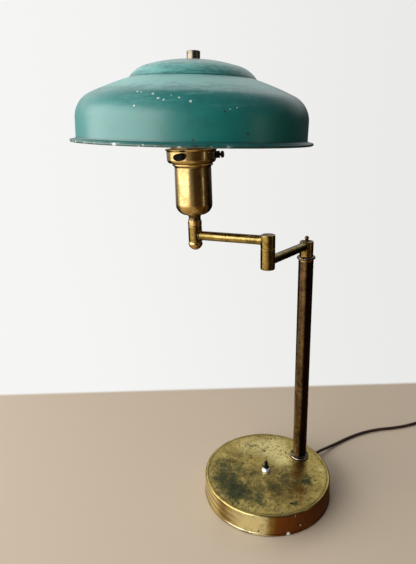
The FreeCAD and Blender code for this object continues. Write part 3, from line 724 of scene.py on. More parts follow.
@dataclass(frozen=True)
class StovedEnamel(Recipe):
    """Teal green stoving enamel, chalking on top with a painted sheen there, scratched and chipped, and
    white inside.
    """

    specks: Specks
    teal: Colour = (0.001, 0.185, 0.175)
    faded: Colour = (0.008, 0.25, 0.24)
    deep: Colour = (0.001, 0.11, 0.1)
    chalk_and_sheen: Colour = (0.25, 0.64, 0.6)
    primer: Colour = (0.62, 0.72, 0.71)
    bare: Colour = (0.02, 0.03, 0.026)
    grubby: Colour = (0.012, 0.06, 0.052)
    inside: Colour = (0.78, 0.77, 0.72)
    scratch_at: float = 44.4

    def dress(self, n: Nodes, shader: Node) -> None:
        """Lays fading, dirt, chalking with a painted sheen, one long scratch, the rim's wear and the chips
        over the teal.

        Args:
            n: the node helper of the material's tree.
            shader: the material's shader.
        """
        where = n.place()
        cloud = n.mask(tarnish(), where, scale=14.0, cover=0.45, softness=0.25)
        rubs = n.mask(streaks(), n.stretched(where, (1.0, 1.0, 7.0)), scale=160.0)
        # Chalking and a painted sheen where the shade faces up.
        chalk_and_sheen_mask = n.rising(n.plus(n.mark("chalk_and_sheen"), n.times(n.minus(rubs, 0.5), 0.5)), 0.2, 1.1)
        wander = n.plus(self.scratch_at, n.times(n.noise(where, 9.0), 0.9))
        line = n.rising(n.maths("ABSOLUTE", n.minus(n.mark("run"), wander)), 0.15, 0.5, 1.0, 0.0)
        rolled = n.rising(n.mark("rim"), 0.35, 0.8)
        rim = n.mask(tarnish(), where, scale=55.0, cover=0.3, softness=0.04)
        nicks = n.mask(pits(), where, scale=160.0, amount=0.4, size=0.5)
        flakes = n.mask(pits(), where, scale=210.0, amount=0.2, size=0.45)
        colour = n.layers(self.teal, (self.faded, cloud, 0.55),
                          (self.deep, n.mask(tarnish(), where, scale=45.0, cover=0.3, softness=0.15), 0.4),
                          (self.chalk_and_sheen, chalk_and_sheen_mask, 0.75),
                          (self.deep, n.mask(pits(), where, scale=230.0, amount=0.05, size=0.2), 0.5),
                          (self.chalk_and_sheen, n.times(line, n.rising(n.noise(where, 60.0), 0.45, 0.6)), 0.5),
                          (self.deep, n.rising(n.mark("hollow"), 0.05, 0.5), 0.85),
                          (self.grubby, rolled, 0.7),
                          (self.primer, n.times(rim, rolled), 0.7),
                          (self.bare, n.times(nicks, rolled), 0.85),
                          (self.primer, n.times(flakes, rolled), 0.85))
        chips: Socket | float = 0.0
        for place, size, pale in self.specks:
            spot = n.mask(speck(), where, place=place, size=size, ragged=0.55)
            colour = n.layers(colour, (self.primer if pale else self.bare, spot, 0.85))
            chips = n.maths("MAXIMUM", spot, chips)
        rough = n.between(n.maths("MAXIMUM", chips, n.times(chalk_and_sheen_mask, 0.6)), n.between(cloud, 0.38, 0.46), 0.6)
        n.feed(shader, {"Base Color": n.mixed(n.mark("inside"), colour, self.inside), "Roughness": rough,
                        "Specular IOR Level": 0.8, "Coat Weight": 0.3, "Coat Roughness": 0.28})
        orange_peel = n.noise(where, 240.0, 2.0)
        n.bump(shader, n.minus(n.times(orange_peel, 0.3), chips), 0.00012)


@dataclass(frozen=True)
class Moulding(Recipe):
    """Moulded, painted or glazed surface with smudges, dust in its hollows and rubbed edges."""

    colour: Colour
    worn: Colour
    dusty: Colour
    smooth: float
    rough: float
    rubbed: float
    smudge: float = 0.35
    gloss: float = 0.5

    def dress(self, n: Nodes, shader: Node) -> None:
        """Lays smudges, dust and wear over the colour.

        Args:
            n: the node helper of the material's tree.
            shader: the material's shader.
        """
        where = n.place()
        smudges = n.mask(tarnish(), where, scale=110.0, cover=0.45, softness=0.2)
        rubbed = n.mask(wear(), where, edge=n.mark("edge"), amount=self.rubbed)
        colour = n.layers(self.colour, (self.dusty, smudges, self.smudge),
                          (self.dusty, n.mark("hollow"), 0.6),
                          (self.worn, rubbed, 0.7))
        n.feed(shader, {"Base Color": colour, "Roughness": n.between(smudges, self.smooth, self.rough),
                        "Specular IOR Level": self.gloss})
        n.bump(shader, n.noise(where, 700.0, 3.0), 0.00003)


@dataclass(frozen=True)
class Felt(Recipe):
    """Pressed green felt: matted fibres and lint."""

    colour: Colour = (0.03, 0.085, 0.045)
    lint: Colour = (0.16, 0.2, 0.15)

    def dress(self, n: Nodes, shader: Node) -> None:
        """Lays fibres and lint over the colour.

        Args:
            n: the node helper of the material's tree.
            shader: the material's shader.
        """
        where = n.place()
        fibre = n.effect(streaks(), n.stretched(where, (1.0, 3.0, 1.0), (0, 0, 0.6)), scale=1500.0)
        lint = n.mask(pits(), where, scale=700.0, amount=0.12, size=0.3)
        colour = n.layers(self.colour, (self.lint, fibre["Mask"], 0.35), (self.lint, lint, 0.5))
        n.feed(shader, {"Base Color": colour, "Roughness": 0.95, "Sheen Weight": 0.4})
        n.bump(shader, fibre["Height"], 0.0003)


@dataclass(frozen=True)
class FrostedBulb(Recipe):
    """Lamp glass frosted on its inside: it scatters light but keeps a clean outer gloss."""

    colour: Colour = (0.93, 0.93, 0.9)
    greyer: Colour = (0.8, 0.8, 0.78)

    def dress(self, n: Nodes, shader: Node) -> None:
        """Feeds the glass with its frost.

        Args:
            n: the node helper of the material's tree.
            shader: the material's shader.
        """
        frost = n.noise(n.place(), 900.0, 3.0)
        n.feed(shader, {"Base Color": n.mixed(frost, self.colour, self.greyer), "IOR": 1.46,
                        "Roughness": n.rising(frost, 0.3, 0.7, 0.3, 0.45), "Transmission Weight": 0.35,
                        "Coat Weight": 0.6, "Coat Roughness": 0.04})


@dataclass(frozen=True)
class CordJacket(Recipe):
    """Dark brown flexible jacket, scuffed and dusty along its run."""

    colour: Colour = (0.034, 0.013, 0.008)
    scuffed: Colour = (0.09, 0.05, 0.036)
    dust: Colour = (0.2, 0.17, 0.14)

    def dress(self, n: Nodes, shader: Node) -> None:
        """Lays scuffs and dust over the colour.

        Args:
            n: the node helper of the material's tree.
            shader: the material's shader.
        """
        where = n.place()
        scuffs = n.mask(tarnish(), where, scale=160.0, cover=0.4, softness=0.1)
        dust = n.mask(pits(), where, scale=1200.0, amount=0.1, size=0.35)
        colour = n.layers(self.colour, (self.scuffed, scuffs, 0.6), (self.dust, dust, 0.5))
        n.feed(shader, {"Base Color": colour, "Roughness": n.between(scuffs, 0.38, 0.62)})
        n.bump(shader, n.noise(where, 2200.0, 3.0), 0.00004)


class Finish(Enum):
    """Every finish of the lamp, with the record's slot that it belongs to."""

    HUSK = "husk", "aged_brass"
    PLATE = "plate", "aged_brass"
    ARM = "arm", "aged_brass"
    DARK_BRASS = "dark", "dark_brass"
    COLUMN = "column", "bronzed_column"
    RING = "ring", "worn_ring"
    IRON = "iron", "cast_weight"
    FELT = "felt", "green_felt"
    STEEL = "steel", "steel_hardware"
    TURNED = "turned", "turned_brass"
    BLACK_SCREW = "screw", "blackened_screw"
    NICKEL = "nickel", "nickel_nut"
    LEVER = "lever", "black_moulding"
    PORCELAIN = "glaze", "porcelain"
    BULB_CAP = "cap", "bulb_aluminium"
    BULB_GLASS = "glass", "frosted_glass"
    ENAMEL = "enamel", "green_enamel"
    LEAD = "lead", "lead_insulation"
    CORD = "cord", "cord_jacket"
    PLUG = "plug", "plug_moulding"
    BLADE = "blade", "plug_brass"

    @property
    def slot(self) -> str:
        """The record's material slot."""
        return self.value[1]


class Paintshop:
    """Makes each finish once and hands it out."""

    def __init__(self, enamel: StovedEnamel, cup_specks: Specks) -> None:
        """Writes the recipes down.

        A metal's colours are bright, dull and dark; its numbers are the roughness where it is smooth and
        where it is rough, the scale and cover of its dull patches, the cover of its dark ones, its pits and
        its rubbed edges.

        Args:
            enamel: the shade's enamel, which knows where its chips are.
            cup_specks: the specks on the base.
        """
        brown = (0.13, 0.07, 0.022)
        along, fine_turned = (1.0, 1.0, 0.03), (1.0, 1.0, 8.0)
        self.recipes: dict[Finish, Recipe] = {
            Finish.HUSK: AgedMetal("Spun brass", (0.6, 0.44, 0.19), (0.42, 0.28, 0.095), brown,
                                   0.2, 0.34, 60.0,
                                   0.45, 0.26, 0.2, 0.5, streak=(1.0, 1.0, 6.0), streak_share=0.2),
            Finish.ARM: AgedMetal("Drawn brass", (0.39, 0.29, 0.1), (0.2, 0.145, 0.042),
                                  (0.04, 0.025, 0.008), 0.13,
                                  0.26, 90.0, 0.5, 0.34, 0.28, 0.35, streak_share=0.2, lacquer=0.05,
                                  relief=0.00002),
            Finish.PLATE: StainedPlate("Stained base brass", (0.5, 0.385, 0.12), (0.35, 0.26, 0.075),
                                       (0.12, 0.085, 0.025), 0.3, 0.42, 40.0, 0.5, 0.36, 0.34, 0.3,
                                       streak_share=0.12, lacquer=0.0, relief=0.00006, specks=cup_specks),
            Finish.DARK_BRASS: AgedMetal("Darkened brass", (0.3, 0.2, 0.08), (0.12, 0.07, 0.03),
                                         (0.03, 0.018, 0.01),
                                         0.26, 0.45, 120.0, 0.6, 0.4, 0.3, 0.4),
            Finish.COLUMN: AgedMetal("Bronzed tube", (0.24, 0.155, 0.08), (0.13, 0.078, 0.04),
                                     (0.006, 0.004, 0.003),
                                     0.2, 0.36, 50.0, 0.5, 0.4, 0.3, 0.4, along, 0.45, lacquer=0.1),
            Finish.RING: AgedMetal("Worn ring", (0.42, 0.37, 0.3), (0.1, 0.065, 0.04),
                                   (0.025, 0.015, 0.01), 0.1, 0.2,
                                   130.0, 0.75, 0.5, 0.3, 0.22),
            Finish.IRON: AgedMetal("Cast iron", (0.12, 0.12, 0.12), (0.08, 0.075, 0.07),
                                   (0.05, 0.03, 0.02), 0.5, 0.8,
                                   60.0, 0.5, 0.4, 0.5, 0.3, lacquer=0.0, relief=0.0004),
            Finish.STEEL: AgedMetal("Zinc plated steel", (0.6, 0.6, 0.58), (0.42, 0.42, 0.4),
                                    (0.2, 0.18, 0.15), 0.28,
                                    0.45, 120.0, 0.4, 0.2, 0.2, 0.5, lacquer=0.0),
            Finish.TURNED: AgedMetal("Turned brass", (0.26, 0.235, 0.18), (0.17, 0.15, 0.1), brown,
                                     0.3, 0.42, 150.0,
                                     0.4, 0.24, 0.15, 0.6, fine_turned, 0.25),
            Finish.NICKEL: AgedMetal("Polished nickel", (0.95, 0.95, 0.93), (0.86, 0.85, 0.82),
                                     (0.5, 0.47, 0.42), 0.45,
                                     0.55, 200.0, 0.35, 0.15, 0.12, 0.6, lacquer=0.0),
            Finish.BULB_CAP: AgedMetal("Spun aluminium", (0.8, 0.8, 0.8), (0.66, 0.66, 0.65),
                                       (0.3, 0.3, 0.3), 0.25,
                                       0.4, 150.0, 0.4, 0.2, 0.2, 0.5, lacquer=0.0),
            Finish.BLADE: AgedMetal("Stamped brass", (0.78, 0.6, 0.3), (0.6, 0.45, 0.2), brown, 0.2,
                                    0.34, 160.0, 0.4,
                                    0.2, 0.15, 0.6, lacquer=0.0),
            Finish.BLACK_SCREW: Moulding("Blackened screw", (0.008, 0.007, 0.006), (0.06, 0.045, 0.03),
                                         (0.014, 0.011, 0.008), 0.5, 0.65, 0.3, gloss=0.05),
            Finish.LEVER: Moulding("Black moulding", (0.003, 0.003, 0.003), (0.012, 0.012, 0.012),
                                   (0.006, 0.006, 0.006), 0.12, 0.22, 0.15, smudge=0.2, gloss=0.16),
            Finish.PORCELAIN: Moulding("Glazed porcelain", (0.8, 0.78, 0.72), (0.85, 0.84, 0.8),
                                       (0.55, 0.5, 0.42),
                                       0.1, 0.25, 0.2),
            Finish.PLUG: Moulding("Brown moulding", (0.03, 0.016, 0.011), (0.09, 0.06, 0.045),
                                  (0.06, 0.045, 0.035),
                                  0.22, 0.42, 0.3),
            Finish.LEAD: Moulding("Wire insulation", (0.3, 0.25, 0.15), (0.4, 0.35, 0.25),
                                  (0.14, 0.11, 0.07), 0.45,
                                  0.65, 0.2),
            Finish.FELT: Felt("Pressed felt"),
            Finish.BULB_GLASS: FrostedBulb("Frosted bulb"),
            Finish.CORD: CordJacket("Cord jacket"),
            Finish.ENAMEL: enamel,
        }

    @functools.cache
    def __call__(self, finish: Finish) -> Coat:
        """The material of a finish, with its slot."""
        return Coat(self.recipes[finish].make(), finish.slot)

    def repaint_frame(self) -> None:
        """Gives every CAD node that still shows the first finish of its slot."""
        by_slot = {finish.slot: finish for finish in reversed(Finish)}
        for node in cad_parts.values():
            for holder in node.material_slots:
                finish = by_slot.get(holder.material.name.split(".")[0]) if holder.material else None
                if finish is not None:
                    holder.material = self(finish).material


# ---- camera, light and floor ----
@dataclass
class Studio:
    """A pale floor and wall, a big soft window at the left, and the camera. Lengths are in metres."""

    eye: Place3 = (-0.0776, -0.5959, 0.5134)
    pitch: float = 0.31096
    roll: float = -0.029
    lens: float = 31.352
    reach: float = 4.0
    wall_y: float = 2.2
    floor: Colour = (0.66, 0.55, 0.43)
    floor_left: Colour = (0.8, 0.66, 0.44)
    floor_right: Colour = (0.2, 0.095, 0.035)
    floor_back: float = 0.29
    far: Colour = (0.9, 0.9, 0.89)
    wall_left: float = 0.4
    wall_right: float = 0.06
    wall_high: float = 1.25

    def build(self) -> None:
        """Sets the stage up."""
        self.add_camera()
        self.add_floor()
        self.add_wall()
        self.add_lamp("Window", (-1.57, -0.62, 0.8), (-0.05, 0.0, 0.35), (3.0, 1.5), 44.0,
                      (1.0, 0.985, 0.96))
        self.add_lamp("Door gap", (1.1, -0.62, 0.5), (-0.09, 0.0, 0.4), (0.07, 0.9), 0.4, (1.0, 0.95, 0.88))
        self.add_world()
        bpy.context.scene.view_settings.view_transform = "Standard"

    def add_camera(self) -> None:
        """The camera, looking along +Y and down, rolled a little."""
        camera = bpy.data.objects.new("Camera", bpy.data.cameras.new("Camera"))
        camera.data.lens, camera.data.sensor_width = self.lens, 36.0
        camera.data.clip_start, camera.data.clip_end = 0.02, 30.0
        turn = Matrix.Rotation(math.pi / 2 - self.pitch, 4, "X") @ Matrix.Rotation(self.roll, 4, "Z")
        camera.matrix_world = Matrix.Translation(self.eye) @ turn
        bpy.context.scene.collection.objects.link(camera)
        bpy.context.scene.camera = camera

    def add_sheet(self, name: str, corners: Sequence[Place3], material: bpy.types.Material) -> None:
        """A flat stage piece.

        Args:
            name: its name.
            corners: its corners in order.
            material: its material.
        """
        mesh = bpy.data.meshes.new(name)
        mesh.from_pydata(corners, [], [tuple(range(len(corners)))])
        mesh.materials.append(material)
        sheet = bpy.data.objects.new(name, mesh)
        bpy.context.scene.collection.objects.link(sheet)

    def add_floor(self) -> None:
        """The floor: pale and plain, running into the wall's own tone far behind the lamp.

        What the metal mirrors of it is kept dim and warm, as a floor is where the lamp stands in its own
        shade.
        """
        material, n, shader = new_material("Pale floor")
        axes = n.axes(n.place())
        far = n.rising(axes["Y"], self.floor_back - 0.006, self.floor_back + 0.006)
        seen = n.seen()
        mirrored = n.mixed(n.rising(axes["X"], -0.03, 0.12), self.floor_left, self.floor_right)
        n.feed(shader,
               {"Base Color": n.mixed(far, n.mixed(seen, mirrored, self.floor), BLACK), "Roughness": 0.6,
                "Emission Color": self.far, "Specular IOR Level": 0.0,
                "Emission Strength": n.times(n.times(far, seen), self.paleness(n, axes))})
        r = self.reach
        self.add_sheet("Floor", [(-r, -r, 0), (r, -r, 0), (r, r, 0), (-r, r, 0)], material)

    def paleness(self, n: Nodes, axes: Sequence[Socket]) -> Socket:
        """How bright the far floor and the wall show: a little dimmer towards the right of the lamp."""
        return n.rising(n.maths("DIVIDE", axes["X"], n.plus(axes["Y"], 0.6)), -0.5, 0.5, 1.02, 0.91)

    def add_wall(self) -> None:
        """The wall behind, farther off than any view of the lamp reaches, and darker towards the right."""
        material, n, shader = new_material("Pale wall")
        axes = n.axes(n.place())
        low = n.rising(axes["X"], -0.4, 0.9, self.wall_left, self.wall_right)
        high = n.rising(axes["Z"], 0.8, 1.5, 0.0, self.wall_high)
        mirrored = n.maths("MAXIMUM", low, n.times(high, n.rising(axes["X"], 0.5, 3.0, 1.0, 0.4)))
        n.feed(shader, {"Base Color": BLACK, "Specular IOR Level": 0.0, "Emission Color": self.far,
                        "Emission Strength": n.between(n.seen(), mirrored, self.paleness(n, axes))})
        r, y = self.reach, self.wall_y
        self.add_sheet("Wall", [(-r, y, 0), (r, y, 0), (r, y, r), (-r, y, r)], material)

    def add_lamp(self, name: str, place: Place3, aim: Place3, size: Place, watts: float,
                 colour: Colour) -> None:
        """One soft rectangular light that the camera doesn't see.

        Args:
            name: its name.
            place: where it stands.
            aim: the point that it faces.
            size: its width and height.
            watts: its power.
            colour: its tint.
        """
        lamp = bpy.data.objects.new(name, bpy.data.lights.new(name, "AREA"))
        lamp.data.shape = "RECTANGLE"
        lamp.data.size, lamp.data.size_y = size
        lamp.data.energy, lamp.data.color = watts, colour
        lamp.location = place
        lamp.rotation_euler = (Vector(aim) - Vector(place)).to_track_quat("-Z", "Y").to_euler()
        lamp.visible_camera = False
        bpy.context.scene.collection.objects.link(lamp)

    def add_world(self) -> None:
        """Room light: brighter from the left, dim at the right, and plain pale where the camera sees it."""
        world = bpy.data.worlds.new("Room")
        world.use_nodes = True
        n = Nodes(world.node_tree)
        world.node_tree.nodes.clear()
        way = n.axes(n.add("ShaderNodeTexCoord").outputs["Generated"])
        left, above = n.rising(way["X"], -0.55, -0.1, 1.0, 0.0), n.rising(way["Z"], 0.2, 0.9)
        level = n.plus(n.plus(n.times(left, 0.6), n.times(above, 0.15)), 0.02)
        background = n.feed(n.add("ShaderNodeBackground"),
                            {"Color": (1.0, 0.99, 0.97), "Strength": n.between(n.seen(), level, 0.86)})
        n.wire(background.outputs[0], n.add("ShaderNodeOutputWorld").inputs["Surface"])
        bpy.context.scene.world = world


# ---- cord ----
@dataclass
class MainsCord:
    """The cord: its strain relief, its run over the table, the stored coil with its tie, and the plug."""

    diameter: float = 4.6
    length: float = 1800.0
    exit_bearing: float = 38.0
    exit_radius: float = 91.5
    exit_z: float = 7.0
    relief_start: float = 90.6
    relief_end: float = 108.0
    relief_ribs: int = 5
    rest_z: float = 2.4
    coil_at: Place = (324.0, 131.0)
    coil_radius: float = 26.0
    coil_start: float = 100.0
    curve_stand_out: float = 1.019
    turns_wide: int = 3
    turns_high: int = 3
    points_per_turn: int = 16
    tie_bearing: float = 215.0
    plug_at: Place3 = (356.5, 95.0, 5.6)
    plug_size: Place3 = (19.0, 25.0, 11.2)
    plug_ridge: float = 0.022

    def build(self, paint: Paintshop) -> None:
        """Builds the cord with all that is on it.

        Args:
            paint: hands out the finishes.
        """
        moulding = paint(Finish.PLUG)
        relief = self.relief().made("strain_relief", moulding, "base", "cord_relief")
        plug = self.plug().made("plug", moulding, "base", "plug_body")
        tie = self.tie().made("coil_tie", paint(Finish.LEVER), "base")
        cord = self.cord(paint(Finish.CORD))

    def run_points(self) -> Array:
        """The route from the relief over the table to the coil.

        Returns:
            The route's points there.
        """
        z = self.rest_z
        return np.array([
            (72.1, 56.3, 7.0), (93.0, 72.6, 7.0), (109.5, 84.6, 4.2), (128.0, 97.3, z), (152.0, 112.0, z),
            (180.0, 125.2, z), (208.0, 133.2, z), (238.0, 136.0, z), (266.0, 142.5, z), (290.0, 152.0, z),
        ])

    def coil_points(self) -> Array:
        """The stored turns, wound clockwise seen from above.

        Turn number k of the coil lies in column (k mod 3), counted inwards on even layers and outwards on
        odd ones, and in layer k div 3. Within the last fifth of a turn it shifts smoothly to the next place,
        a cord's width away. The control polygon stands out a little so that the curve inside it keeps the
        turn's true radius.

        Returns:
            The route's points through the coil.
        """
        turns = self.turns_wide * self.turns_high
        wound = np.arange(turns * self.points_per_turn + 1) / self.points_per_turn
        turn = np.minimum(np.floor(wound), turns - 1)
        step = np.clip((wound - turn - 0.78) / 0.22, 0, 1)
        step = step * step * (3 - 2 * step)

        def spot(number: Array) -> Array:
            """Radius and height of a turn by its number.

            Args:
                number: the turn's number.

            Returns:
                Two rows, of radii and of heights.
            """
            number = np.minimum(number, turns - 1)
            layer, column = np.floor(number / self.turns_wide), number % self.turns_wide
            column = np.where(layer % 2 == 0, column, self.turns_wide - 1 - column)
            return np.stack([self.coil_radius + (1 - column) * self.diameter,
                             self.rest_z + layer * self.diameter])

        radius, z = spot(turn) * (1 - step) + spot(turn + 1) * step
        return self.round_coil(radius * self.curve_stand_out,
                               math.radians(self.coil_start) - wound * math.tau, z)

    def round_coil(self, radius: Array, angle: Array, z: Array) -> Array:
        """Points at some distances and angles from the coil's middle, at some heights."""
        x, y = self.coil_at
        return np.stack([x + radius * np.cos(angle), y + radius * np.sin(angle), z], 1)

    def tail_points(self) -> Array:
        """From the last turn over the coil in one low hump and down to the plug.

        Returns:
            The route's points there.
        """
        top = self.rest_z + self.turns_high * self.diameter
        over = self.round_coil(np.array([24.0, 27.0, 30.5, 33.0]), np.radians([76.0, 54.0, 34.0, 16.0]),
                               top + np.array([-1.2, 0.2, 0.0, -2.8]))
        x, y, z = self.plug_at
        down = np.array([(x + 0.5, y + 31.0, 8.6), (x + 0.3, y + 18.0, 6.4), (x, y + 6.0, z),
                         (x, y - 7.0, z)])
        return np.vstack([over, down])

    def cord(self, jacket: Coat) -> bpy.types.Object:
        """The whole cord as one smooth curve through its route.

        Args:
            jacket: its finish.

        Returns:
            The curve, which stands for the cord's CAD nodes.
        """
        route = np.vstack([self.run_points(), self.coil_points(), self.tail_points()]) * MM
        curve = bpy.data.curves.new("mains_cord", "CURVE")
        curve.dimensions = "3D"
        curve.bevel_depth = self.diameter * MM / 2
        curve.bevel_resolution = 4
        curve.resolution_u = 6
        curve.use_fill_caps = True
        spline = curve.splines.new("NURBS")
        spline.points.add(len(route) - 1)
        spline.points.foreach_set("co", np.hstack([route, np.ones((len(route), 1))]).ravel())
        spline.order_u = 3
        spline.use_endpoint_u = True
        curve.materials.append(jacket.material)
        cord = bpy.data.objects.new("mains_cord", curve)
        return settled(cord, jacket.slot, "base", "cord_run", "cord_coil", "cord_tail")

    def relief(self) -> Surface:
        """A tapered sleeve with ribs, its flange inside the base's wall.

        Returns:
            The closed surface.
        """
        outline = Outline(0, -5.0).line((5.2, -5.0), (5.2, -1.9), (3.75, -1.9), (3.75, 0.4),
                                        (4.75, 0.4), (4.75, 2.2))
        start, end = 2.2, self.relief_end - self.relief_start - 0.4
        at = np.linspace(start, end, self.relief_ribs + 1)
        wide = 4.7 - 1.75 * (at - start) / (end - start)
        for low, high, at_low, at_high in zip(at, at[1:], wide, wide[1:]):
            groove = low + 0.32 * (high - low)
            outline.line((at_low - 0.75, low + 0.25), (at_low - 0.8, groove), (at_low - 0.15, groove + 0.35),
                         (at_high, high - 0.1))
        outline.line((0, end + 0.4))
        axis = Vector(towards(self.exit_bearing))
        turn = Vector((0, 0, 1)).rotation_difference(axis).to_matrix().to_4x4()
        foot = Matrix.Translation(axis * self.relief_start + Vector((0, 0, self.exit_z)))
        return outline.spun((0, 0), 0.22, 1.2, 48, loop=False).turned(foot @ turn)

    def plug(self) -> Surface:
        """The moulded plug: a rounded-square section carried along its length.

        At share t of the length the section is the curve |x/a|^p + |z/b|^p = 1. Half-width a and half-height
        b rise out of the neck, run level, and close over the blade face; finger ridges ripple a along the
        middle.

        Returns:
            The closed surface.
        """
        width, depth, height = self.plug_size
        t = np.array([0.0, 0.0, 0.03, 0.08, 0.14, 0.2, 0.26, *np.linspace(0.3, 0.86, 40), 0.92, 0.965,
                      0.99, 1.0, 1.0])
        stations = [0.0, 0.08, 0.22, 0.34, 0.9, 0.97, 1.0]
        wide = np.interp(t, stations, [0.36, 0.42, 0.72, 1.0, 1.0, 0.96, 0.86])
        tall = np.interp(t, stations, [0.62, 0.66, 0.84, 1.0, 1.0, 0.95, 0.82])
        power = np.interp(t, [0, 0.2, 0.4], [2.2, 2.8, 4.2])[:, None]
        ridge = self.plug_ridge * np.cos((t - 0.3) * math.tau * 7.5) * ((t > 0.33) & (t < 0.84))
        half_width = width / 2 * (wide + ridge - self.plug_ridge)
        half_height = height / 2 * (tall - 0.002)
        half_width[[0, -1]] = half_height[[0, -1]] = 0.02
        angle = np.arange(64) * math.tau / 64
        c, s = np.cos(angle), np.sin(angle)
        swell = (np.abs(c) ** power + np.abs(s) ** power) ** (-1 / power)
        px, py, pz = self.plug_at
        x, z = px + half_width[:, None] * swell * c, pz + half_height[:, None] * swell * s
        points = np.stack([x, np.broadcast_to((py - t * depth)[:, None], x.shape), z], -1)
        rows, columns = x.shape
        k = np.arange(1, columns - 1)
        cap = np.stack([np.zeros_like(k), k, k + 1], 1)
        caps = np.vstack([cap, (rows - 1) * columns + cap[:, ::-1]])
        marks = {"edge": np.repeat(np.clip((t - 0.9) * 10, 0, 1), columns),
                 "hollow": np.repeat(np.clip(-ridge / self.plug_ridge, 0, 1) * 0.6, columns)}
        return Surface(points.reshape(-1, 3), grid_faces(rows, columns, rows_close=False), caps, marks)

    def tie(self) -> Surface:
        """A strap round the bundle of turns.

        The strap's middle follows the curve |u/a|^5 + |v/a|^5 = 1 round the bundle's section, and a thin
        rounded band is carried along it across the turns.

        Returns:
            The closed surface.
        """
        half = self.turns_wide * self.diameter / 2 + 0.45
        angle = np.arange(96) * math.tau / 96
        swell = (np.abs(np.cos(angle)) ** 5 + np.abs(np.sin(angle)) ** 5) ** (-1 / 5)
        u, v = half * swell * np.cos(angle), half * swell * np.sin(angle)
        tangent = np.stack([np.roll(u, -1) - np.roll(u, 1), np.roll(v, -1) - np.roll(v, 1)], 1)
        tangent /= np.linalg.norm(tangent, axis=1)[:, None]
        out, side = np.array([(-0.4, -3.2), (-0.4, 3.2), (-0.25, 3.5), (0.25, 3.5), (0.4, 3.2), (0.4, -3.2),
                              (0.25, -3.5), (-0.25, -3.5)]).T
        radial, cross = towards(self.tie_bearing), towards(self.tie_bearing + 90)
        across = u[:, None] + tangent[:, 1:] * out
        upward = v[:, None] - tangent[:, :1] * out
        centre = np.array([*self.coil_at, 0]) + radial * self.coil_radius
        points = centre + across[..., None] * radial + side[None, :, None] * cross
        points[..., 2] = np.maximum(upward + self.rest_z + self.diameter, 0.05)
        return Surface(points[:, ::-1].reshape(-1, 3), grid_faces(*across.shape))


